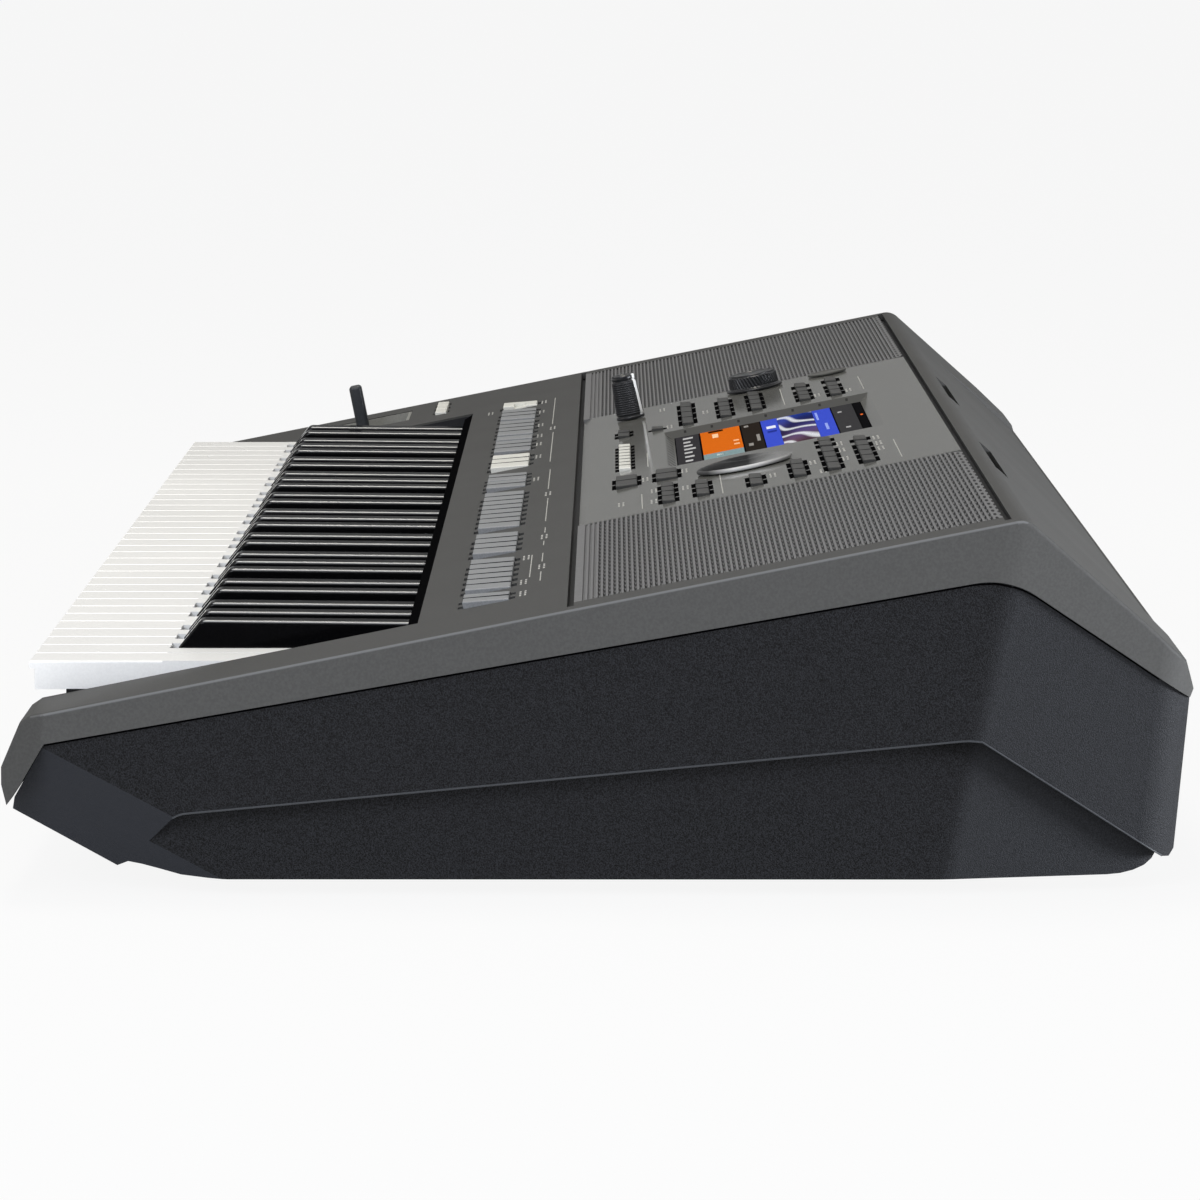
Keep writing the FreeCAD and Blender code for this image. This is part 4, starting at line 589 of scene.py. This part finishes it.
# %% Knobs
TALL_PLACE, WIDE_PLACE, DISC_PLACE = (-192.0, 13.26), (-220.0, 71.06), (-224.6, 105.03)
DIAMOND_COUNT, DIAMOND_LEAN, DIAMOND_DEPTH = 26, 3.2, 0.16
SPIRAL_COUNT, SPIRAL_LEAN, SPIRAL_DEPTH = 44, 1.6, 0.22


def diamonds(angle, height):
    """Two crossing spirals: the product of two sines, only on the grip between the collars."""
    grip = (height > 2.9) & (height < 17.4)
    turn, lean = DIAMOND_COUNT * angle, DIAMOND_LEAN * height
    return grip * DIAMOND_DEPTH * np.sin(turn + lean) * np.sin(turn - lean)


def spiral(angle, height):
    """One spiral: a sine of angle plus height, only on the grip."""
    grip = (height > 2.2) & (height < 6.8)
    return grip * SPIRAL_DEPTH * np.sin(SPIRAL_COUNT * angle + SPIRAL_LEAN * height)


tall_profile = rounded_profile(
    [(3.0, 0.4), (6.2, 0.4), (6.45, 0.65), (6.45, 1.7), (5.9, 1.9), (5.9, 2.4), (6.2, 2.8), (5.5, 17.5),
     (5.0, 17.8), (5.0, 18.3), (5.35, 18.6), (5.3, 20.2), (4.9, 20.6), (4.2, 20.55), (4.0, 20.3),
     (0.02, 20.3)],
    [2, 2, 2, 2, 2, 2, 90, 2, 2, 2, 3, 3, 2, 2, 6])
wide_profile = rounded_profile(
    [(3.0, 0.4), (12.6, 0.4), (12.85, 0.65), (12.85, 1.4), (11.6, 1.7), (11.2, 2.1), (10.9, 6.9), (10.6, 7.1),
     (10.6, 7.7), (10.3, 8.0), (9.5, 7.95), (9.2, 7.6), (0.02, 7.6)],
    [2, 2, 2, 3, 2, 24, 2, 2, 2, 2, 2, 8])
disc_profile = rounded_profile(
    [(3.0, 0.4), (8.7, 0.4), (8.95, 0.6), (8.95, 1.1), (8.7, 1.3), (7.6, 1.25), (7.2, 1.0), (0.02, 1.0)],
    [2, 2, 2, 2, 2, 2, 8])
tall = turned("tall_knob_shell", knob_black, TALL_PLACE, tall_profile, 312, diamonds, 1.1)
wide = turned("wide_knob_shell", knob_black, WIDE_PLACE, wide_profile, 352, spiral)
disc = turned("disc_knob_shell", disc_grey, DISC_PLACE, disc_profile, 96)
for piece, name in ((tall, "tall_knob"), (wide, "wide_knob"), (disc, "disc_knob")):
    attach(piece, name)
    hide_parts(name)
print("knob faces:", [len(piece.data.polygons) for piece in (tall, wide, disc)])

# %% [markdown]
# The data dial is a flat wheel like a lens, with a thin round rim and a dished middle, in black lacquer.
# Its rim is a part of a circle and its face a power of the radius. The lacquer covers spun metal,
# whose fine rings about the axis vary its roughness. Its shine in one sector is painted: the rear sector of
# the face and the middle of the rim are painted lighter, as painted highlights, and the sector is glossier.

# %% Data dial
DIAL_PLACE = (128.0, 58.74)
RIM_RADIUS, RIM_HEIGHT, RIM_ROUND = 18.7, 1.2, 0.8
RING_MM = 0.5


def lacquer_painted_shine(name, middle):
    """Black lacquer over spun metal: the rear sector and the middle of the rim get painted highlights.

    The sector grows towards the rear, the rim is where the distance from the middle reaches its radius,
    and fine rings, a noise of that distance, vary the roughness.
    """
    material, tree, shader, place = new_finish(name)
    away = node(tree, "VectorMath", {0: place, 1: tuple(middle)}, operation="DISTANCE")
    rings = node(tree, "TexNoise", {"W": away.outputs["Value"], "Scale": 1 / (RING_MM * MM)},
                 noise_dimensions="1D")
    split = node(tree, "SeparateXYZ", {"Vector": place})
    back = node(tree, "Math", {0: split.outputs["Y"], 1: float(middle[1])}, operation="SUBTRACT")
    aside = node(tree, "Math", {0: back.outputs[0]}, operation="ABSOLUTE")
    sector = node(tree, "MapRange", {"Value": back.outputs[0], "From Min": 1 * MM, "From Max": 13 * MM})
    rim = node(tree, "MapRange", {"Value": away.outputs["Value"],
                                  "From Min": (RIM_RADIUS - RIM_ROUND / 2) * MM, "From Max": RIM_RADIUS * MM})
    shine = node(tree, "MapRange", {"Value": aside.outputs[0], "From Min": 5 * MM, "From Max": 15 * MM,
                                    "To Min": 1.0, "To Max": 0.1})
    lit = node(tree, "Math", {0: rim.outputs["Result"], 1: shine.outputs["Result"]}, operation="MULTIPLY")
    # Painted highlights: the face lightens towards the rear sector, and the rim lightens where it is lit.
    face = node(tree, "Mix", {0: sector.outputs["Result"], 6: linear("#121213"), 7: linear("#7a7a7a")},
                data_type="RGBA")
    paint = node(tree, "Mix", {0: lit.outputs[0], 6: face.outputs[2], 7: linear("#c6c6c6")}, data_type="RGBA")
    fine = node(tree, "MapRange", {"Value": rings.outputs["Fac"], "To Min": 0.12, "To Max": 0.3})
    gloss = node(tree, "MapRange", {"Value": sector.outputs["Result"], "To Min": 0.02, "To Max": 0.6})
    fill(tree, shader, {"Base Color": paint.outputs[2], "Roughness": fine.outputs["Result"],
                        "Specular IOR Level": gloss.outputs["Result"]})
    return material


sweep = np.radians(np.linspace(-60, 90, 20))
dish = np.linspace(1, 0.002, 40)
rim_radius, rim_height = RIM_RADIUS + RIM_ROUND * np.cos(sweep), RIM_HEIGHT + RIM_ROUND * np.sin(sweep)
dish_radius = dish * rim_radius[-1]
dish_height = rim_height[-1] + 2.0 * (1 - dish ** 2.4) - 1.6 * np.clip(1 - (dish / 0.55) ** 2, 0, 1) ** 2
dial_profile = np.array([np.concatenate([[3.0, 18.6], rim_radius, dish_radius[1:]]),
                         np.concatenate([[0.4, 0.4], rim_height, dish_height[1:]])])
lacquer = lacquer_painted_shine("black_lacquer_painted_shine", on_panel(*DIAL_PLACE, 0.0))
dial = turned("data_dial_shell", lacquer, DIAL_PLACE, dial_profile, 160)
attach(dial, "data_dial")
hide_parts("data_dial")
print("dial faces:", len(dial.data.polygons))

# %% [markdown]
# The caps of the buttons stand in groups, and the gaps between neighbours are darkened with painted shade.
# Each cap is found in its mesh as one linked set of points, and a gap is where two caps stand less than
# 2.6 mm apart. Measuring the caps keeps the painted shade in the gaps even if the caps are moved in the CAD
# model.
# On the plate, small black ears at both ends of each cap are painted shade for its socket hole, which reaches
# past the cap.

# %% Painted shade in the gaps and the socket holes
GAP_LEAST, GAP_MOST, SAME_ROW = 0.3, 2.6, 1.0
SHADE_OVERLAP, SHADE_LIFT, CAP_END = 0.5, 0.03, 1.2
EAR, EAR_INSET, EAR_GAP, EAR_LIFT = 1.7, 1.2, 0.1, 0.05


def cap_boxes(name):
    """Reach of each cap on the panel, and the height of its front and rear ends.

    Points that share an edge take the lowest label among them, till none changes. Then each label is a cap.
    """
    data = nodes[name].data
    points, ends = np.empty(len(data.vertices) * 3), np.empty(len(data.edges) * 2, dtype=int)
    data.vertices.foreach_get("co", points)
    data.edges.foreach_get("vertices", ends)
    points, welded = np.unique(points.reshape(-1, 3).round(6), axis=0, return_inverse=True)
    ends = welded.ravel()[ends].reshape(-1, 2)
    label, last = np.arange(len(points)), None
    while last is None or (label != last).any():
        last = label.copy()
        low = last[ends].min(axis=1)
        np.minimum.at(label, ends[:, 0], low)
        np.minimum.at(label, ends[:, 1], low)
    x, y, z = points.T / MM
    z = z - PANEL_HEIGHT
    lean, up = math.cos(TILT), math.sin(TILT)
    x, v, w = x - PANEL_MIDDLE, y * lean + z * up, z * lean - y * up
    found = []
    for one in np.unique(label):
        cap = label == one
        near, far = v[cap].min(), v[cap].max()
        front, rear = w[cap & (v < near + CAP_END)].max(), w[cap & (v > far - CAP_END)].max()
        found.append((x[cap].min(), x[cap].max(), near, far, front, rear))
    return sorted(found)


def gap_shade_strips(name, boxes, finish):
    """Painted shade: sloped quads over the gaps, from cap to neighbour in x, as long as the cap, as high as
    its two ends.
    """
    pairs = [(a, b) for a in boxes for b in boxes
             if GAP_LEAST < b[0] - a[1] < GAP_MOST and abs(a[2] - b[2]) < SAME_ROW]
    left = np.array([a[1] for a, b in pairs]) - SHADE_OVERLAP
    right = np.array([b[0] for a, b in pairs]) + SHADE_OVERLAP
    near, far, front, rear = np.array([a[2:] for a, b in pairs]).T
    corners = on_panel(np.stack([left, right, right, left], 1), np.stack([near, near, far, far], 1),
                       np.stack([front, front, rear, rear], 1) + SHADE_LIFT)
    mesh = bpy.data.meshes.new(name)
    mesh.from_pydata(corners.reshape(-1, 3).tolist(), [], np.arange(4 * len(pairs)).reshape(-1, 4).tolist())
    paint_points(mesh, "tint", "FLOAT_COLOR", "color", np.tile(linear("#1c1d20"), (4 * len(pairs), 1)))
    return put(name, mesh, finish)


shade_black = screen_ink("painted_shade_black")
shade_black.node_tree.nodes["Principled BSDF"].inputs["Specular IOR Level"].default_value = 0.0
# The ears are black quads of painted shade for the socket holes past each cap's ends.
ears = []
for name in sorted(nodes):
    if "_buttons" in name and name != "cheek_buttons":
        boxes = cap_boxes(name)
        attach(gap_shade_strips("gap_shade_" + name, boxes, shade_black), name)
        print(name, "caps:", len(boxes))
        if not name.startswith("row_"):
            ears += [(a + EAR_INSET, b - EAR_INSET, v, v + EAR, "#0b0b0c") for a, b, near, far, _, _ in boxes
                     for v in (near - EAR - EAR_GAP, far + EAR_GAP)]
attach(tiles("socket_hole_shade", ears, EAR_LIFT, shade_black), "case")
print("socket ears:", len(ears))

# %% [markdown]
# The walls beside the keys carry a smooth dark liner, cut to the slope of the top. Where the keys run in
# under the top, a strip of black felt keeps dust out, and its black is partly painted shade for the shadowed
# gap there. It is matt and returns almost no light.
# Both are plain ruled surfaces: straight lines between two edges.

# %% Liners and felt beside the keys
LINER_FRONT, LINER_REAR, LINER_FOOT, LINER_BELOW = -188, -64, 62.0, 1.0
FELT_ENDS, FELT_REAR, FELT_TOP, FELT_REACH, FELT_DROP = (-389.0, 464.0), -63.4, 90.0, 4.2, 2.8
liner_black = moulded("smooth_abs_liner_black", "#1a1b1e", "#1f2023", 0.8, 0.002, 0.5, 0.2)
felt_shade = moulded("pressed_black_felt", "#060607", "#0d0d0e", 0.5, 0.05, 0.9, 0.0)


def liner(name, x):
    """Wall beside the keys: a grid from the key bed up to the sloping top."""
    y, up = np.meshgrid(np.linspace(LINER_FRONT, LINER_REAR, 16), np.linspace(0, 1, 4), indexing="ij")
    top = PANEL_HEIGHT + RISE * y - LINER_BELOW
    grid = np.stack([0 * y + x, y, LINER_FOOT + (top - LINER_FOOT) * up], axis=-1) * MM
    return put(name, grid_mesh(name, grid if x < 0 else grid[::-1]), liner_black)


def felt_shade_strip(name):
    """Felt along the rear of the keys, partly painted shade: a straight grid from the top's front edge,
    forward and down.
    """
    x, down = np.meshgrid(np.linspace(*FELT_ENDS, 30), np.linspace(0, 1, 3), indexing="ij")
    grid = np.stack([x, FELT_REAR - FELT_REACH * down, FELT_TOP - FELT_DROP * down], axis=-1) * MM
    return put(name, grid_mesh(name, grid[::-1]), felt_shade)


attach(liner("key_liner_left", -389.3), "case")
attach(liner("key_liner_right", 464.3), "case")
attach(felt_shade_strip("key_felt_shade_strip"), "case")
print("felt strip in millimetres:", FELT_ENDS[1] - FELT_ENDS[0])

# %% [markdown]
# A row of small dark holes runs along the far bevel of the display window, with short strokes on the front
# bevel. They are slanted quads that lie a hair above the bevels, which fall 3 mm over 4 mm.

# %% Marks on the display bevel
BEVEL_FALL, FAR_EDGE, FRONT_EDGE = 3 / 4, -92, 27.54


def bevel_marks():
    """Small quads on two bevels, as deep as they are far in, times the fall.

    Far ones step along v. Front ones step along x and lean.
    """
    v = np.array([36.7, 48.6, 60.5, 72.6, 84.6, 96.6, 108.6])[:, None]
    inward = np.array([0.9, 2.3, 2.3, 0.9])
    far = on_panel(FAR_EDGE + inward + 0.02, v + np.array([-0.55, -0.55, 0.55, 0.55]),
                   0.03 - inward * BEVEL_FALL)
    x = np.arange(-84, 60, 12.0)[:, None]
    inward = np.array([0.5, 0.5, 3.4, 3.4])
    front = on_panel(x + np.array([0, 3.0, 9.0, 6.0]), FRONT_EDGE + inward, 0.04 - inward * BEVEL_FALL)
    return np.concatenate([far, front]).reshape(-1, 3)


corners = bevel_marks()
mesh = bpy.data.meshes.new("bevel_marks")
mesh.from_pydata(corners.tolist(), [], np.arange(len(corners)).reshape(-1, 4).tolist())
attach(put("bevel_marks", mesh, black_inner), "case")
print("bevel marks:", len(corners) // 4)

# %% [markdown]
# The lower case steps in by 8 mm at its base, and the edge of the wall above ends in a thin smooth lip
# that catches the light. It is a bead 0.8 mm thick swept along the edge on both ends of the case, and it is
# coloured paler than the wall, a painted highlight on top of the light that it catches. Higher up, a thin
# black strip in the seam where the two halves of the case meet is painted shadow under the upper case's edge.
# Both lines are known from the side. How far out the wall stands is measured by rays shot at the case.

# %% Lip along the step and painted shadow in the seam
from mathutils.bvhtree import BVHTree

PATH_STEPS, BEAD, BEAD_SIDES = 160, 0.4 * MM, 12
LIP_INSET, ABOVE_STEP = 0.2 * MM, 1.2 * MM
SEAM_WIDTH, SEAM_OUT, BELOW_SEAM = 0.6 * MM, 0.04 * MM, 0.4 * MM
STEP = [(-146.4, 28.3), (-143.7, 29.7), (125.8, 55.1), (131.0, 54.6), (194.3, 12.8)]
SEAM = [(-190.0, 54.0), (128.5, 109.4), (135.6, 109.7), (143.4, 107.9), (148.9, 105.0), (178.0, 85.1),
        (192.2, 75.3)]
# The lip's colour is paler than the charcoal wall: a painted highlight.
lip_plastic = moulded("smooth_abs_lip_charcoal", "#313336", "#393b3e", 0.6, 0.002, 0.45, 0.2)


def wall_reach(y, z, side):
    """Distance of the wall from the middle: rays along X against the lower case and the rear wall."""
    reach = np.zeros(len(y))
    for name in ("lower_case", "rear_wall"):
        tree = BVHTree.FromObject(nodes[name], bpy.context.evaluated_depsgraph_get())
        hits = [tree.ray_cast(Vector((side, a, b)), Vector((-side, 0, 0)))[0] for a, b in zip(y, z)]
        reach = np.maximum(reach, [abs(hit.x) if hit else 0 for hit in hits])
    return reach


def walk(path):
    """Even steps along a path of y and z: each coordinate is read off against the length walked so far."""
    path = np.array(path) * MM
    length = np.concatenate([[0], np.cumsum(np.hypot(*np.diff(path, axis=0).T))])
    return (np.interp(np.linspace(0, length[-1], PATH_STEPS), length, path[:, i]) for i in (0, 1))


def lip(name, side):
    """Bead along the edge: a circle of radius BEAD, in the plane of X and Z, at every step of the path."""
    y, z = walk(STEP)
    x = wall_reach(y, z + ABOVE_STEP, side)
    turn = np.linspace(0, 2 * np.pi, BEAD_SIDES, endpoint=False)[:, None]
    out, up = x - LIP_INSET + BEAD * np.cos(turn), z + LIP_INSET + BEAD * np.sin(turn)
    grid = np.stack([side * out, y + 0 * turn, up], axis=-1)
    mesh = grid_mesh(name, grid if side < 0 else grid[::-1], close_u=True)
    return put(name, mesh, lip_plastic)


def seam(name, side):
    """Painted shadow in the seam: a dark strip SEAM_WIDTH high, just outside the wall, under the upper case's
    edge.
    """
    y, z = walk(SEAM)
    x = wall_reach(y, z - BELOW_SEAM, side) + SEAM_OUT
    down = np.array([[0.0], [SEAM_WIDTH]])
    grid = np.stack(np.broadcast_arrays(side * x, y, z - down), axis=-1)
    mesh = grid_mesh(name, grid if side > 0 else grid[::-1])
    # Its near-black tint is the painted shadow.
    paint_points(mesh, "tint", "FLOAT_COLOR", "color", np.tile(linear("#050506"), (y.size * 2, 1)))
    return put(name, mesh, shade_black)


for name, side in (("left", -1), ("right", 1)):
    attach(lip("step_lip_" + name, side), "case")
    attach(seam("seam_shadow_" + name, side), "case")
reach = wall_reach(np.array([0.0, 0.15]), np.array([0.06, 0.06]), 1)
print("wall reach in millimetres, middle and rear:", np.round(reach / MM, 1))

# %% [markdown]
# The keyboard stands on pale paper in even grey air. The background looks white because rays from the camera,
# mirrors and glass see white, not because more light falls on the object. A little of the paper's own
# shade is left in, so the floor keeps the shadow.

# %% Floor and air
BACKDROP = "#fbfbfb"
WHITE_SHARE, PAPER_MM, FLOOR_HALF = 0.93, 2, 60.0


def background_rays(tree):
    """One for rays that see the background: the largest of the camera, glossy and transmission flags."""
    path = node(tree, "LightPath")
    seen = node(tree, "Math", {0: path.outputs["Is Camera Ray"], 1: path.outputs["Is Glossy Ray"]},
                operation="MAXIMUM")
    seen = node(tree, "Math", {0: seen.outputs[0], 1: path.outputs["Is Transmission Ray"]},
                operation="MAXIMUM")
    return seen.outputs[0]


floor_paper, tree, shader, place = new_finish("pale_floor_paper")
tooth = node(tree, "TexNoise", {"Vector": place, "Scale": 1 / (PAPER_MM * MM)})
paper = node(tree, "Mix", {0: tooth.outputs["Fac"], 6: linear("#e6e6e6"), 7: linear("#ececec")},
             data_type="RGBA")
fill(tree, shader, {"Base Color": paper.outputs[2], "Roughness": 0.9, "Specular IOR Level": 0.0})
share = node(tree, "Math", {0: background_rays(tree), 1: WHITE_SHARE}, operation="MULTIPLY")
glow = node(tree, "Emission", {"Color": linear(BACKDROP), "Strength": 1.0})
both = node(tree, "MixShader", {0: share.outputs[0], 1: shader.outputs["BSDF"], 2: glow.outputs["Emission"]})
tree.links.new(both.outputs["Shader"], tree.nodes["Material Output"].inputs["Surface"])
side = np.linspace(-FLOOR_HALF, FLOOR_HALF, 9)
flat_x, flat_y = np.meshgrid(side, side, indexing="ij")
floor = put("floor", grid_mesh("floor", np.stack([flat_x, flat_y, 0 * flat_x], axis=-1)), floor_paper)

air = bpy.data.worlds.new("studio_air")
air.use_nodes = True
scene.world = air
tree = air.node_tree
tree.nodes.clear()
tone = node(tree, "Mix", {0: background_rays(tree), 6: linear("#b5b5b6"), 7: linear(BACKDROP)},
            data_type="RGBA")
back = node(tree, "Background", {"Color": tone.outputs[2], "Strength": 1.0})
node(tree, "OutputWorld", {"Surface": back.outputs["Background"]})
print("floor half width in metres:", FLOOR_HALF)

# %% [markdown]
# A low grey ring stands around the set, as photographers stand cards, so that the polished plate and keys,
# seen at a flat angle, mirror something darker than the white air. It is paler at the far end.
# The ring shows only in reflections.

# %% Card ring
RING_RADIUS, RING_FOOT, RING_TOP, RING_SIDES = 2.4, 0.02, 1.4, 64
card_grey, tree, shader, place = new_finish("matt_grey_card")
split = node(tree, "SeparateXYZ", {"Vector": place})
near = node(tree, "MapRange", {"Value": split.outputs["X"], "From Min": -RING_RADIUS / 2,
                               "From Max": RING_RADIUS / 2})
tone = node(tree, "Mix", {0: near.outputs["Result"], 6: linear("#7e7e7d"), 7: linear("#4a4a4a")},
            data_type="RGBA")
fill(tree, shader, {"Base Color": tone.outputs[2], "Roughness": 0.9, "Specular IOR Level": 0.0})
turn, z = np.meshgrid(np.linspace(0, 2 * np.pi, RING_SIDES, endpoint=False), [RING_FOOT, RING_TOP])
ring = np.stack([RING_RADIUS * np.cos(turn), RING_RADIUS * np.sin(turn), z], axis=-1)
cards = put("card_ring", grid_mesh("card_ring", ring, close_v=True), card_grey)
cards.visible_camera = False
cards.visible_diffuse = False
cards.visible_shadow = False
cards.visible_transmission = False
print("card ring faces:", len(cards.data.polygons))

# %% [markdown]
# Four soft boxes light the set: one overhead, one beside the camera, one at the front and one behind.
# An area lamp is a soft box in Blender: the larger it is, the softer its shadows. The overhead one draws the
# thin bright lines on polished edges, and on the black keys and the case's top edges a painted highlight adds
# to them. Each is slightly warm or cool, as lamps and daylight are.

# %% Soft boxes
def soft_box(name, place, aim, width, height, watts, tint):
    """Area lamp at a place, its -Z axis turned to the aim."""
    lamp = bpy.data.lights.new(name, "AREA")
    lamp.shape = "RECTANGLE"
    lamp.size, lamp.size_y, lamp.energy = width, height, watts
    lamp.color = linear(tint)[:3]
    made = bpy.data.objects.new(name, lamp)
    made.location = place
    made.rotation_euler = (Vector(aim) - Vector(place)).to_track_quat("-Z", "Y").to_euler()
    scene.collection.objects.link(made)


soft_box("overhead_strip", (-0.05, -0.2, 2.0), (-0.05, -0.2, 0.1), 1.0, 0.4, 18.0, "#fff9ec")
soft_box("side_box", (2.6, -0.9, 1.3), (0.4, 0.0, 0.05), 1.6, 1.2, 45.0, "#f0f5ff")
soft_box("front_box", (0.3, -2.4, 0.9), (0.2, -0.1, 0.06), 1.8, 1.0, 8.0, "#fff4e6")
soft_box("rear_box", (1.1, 2.4, 0.28), (0.45, 0.15, 0.05), 1.0, 0.5, 110.0, "#f4f8ff")
print("soft boxes:", len(bpy.data.lights))
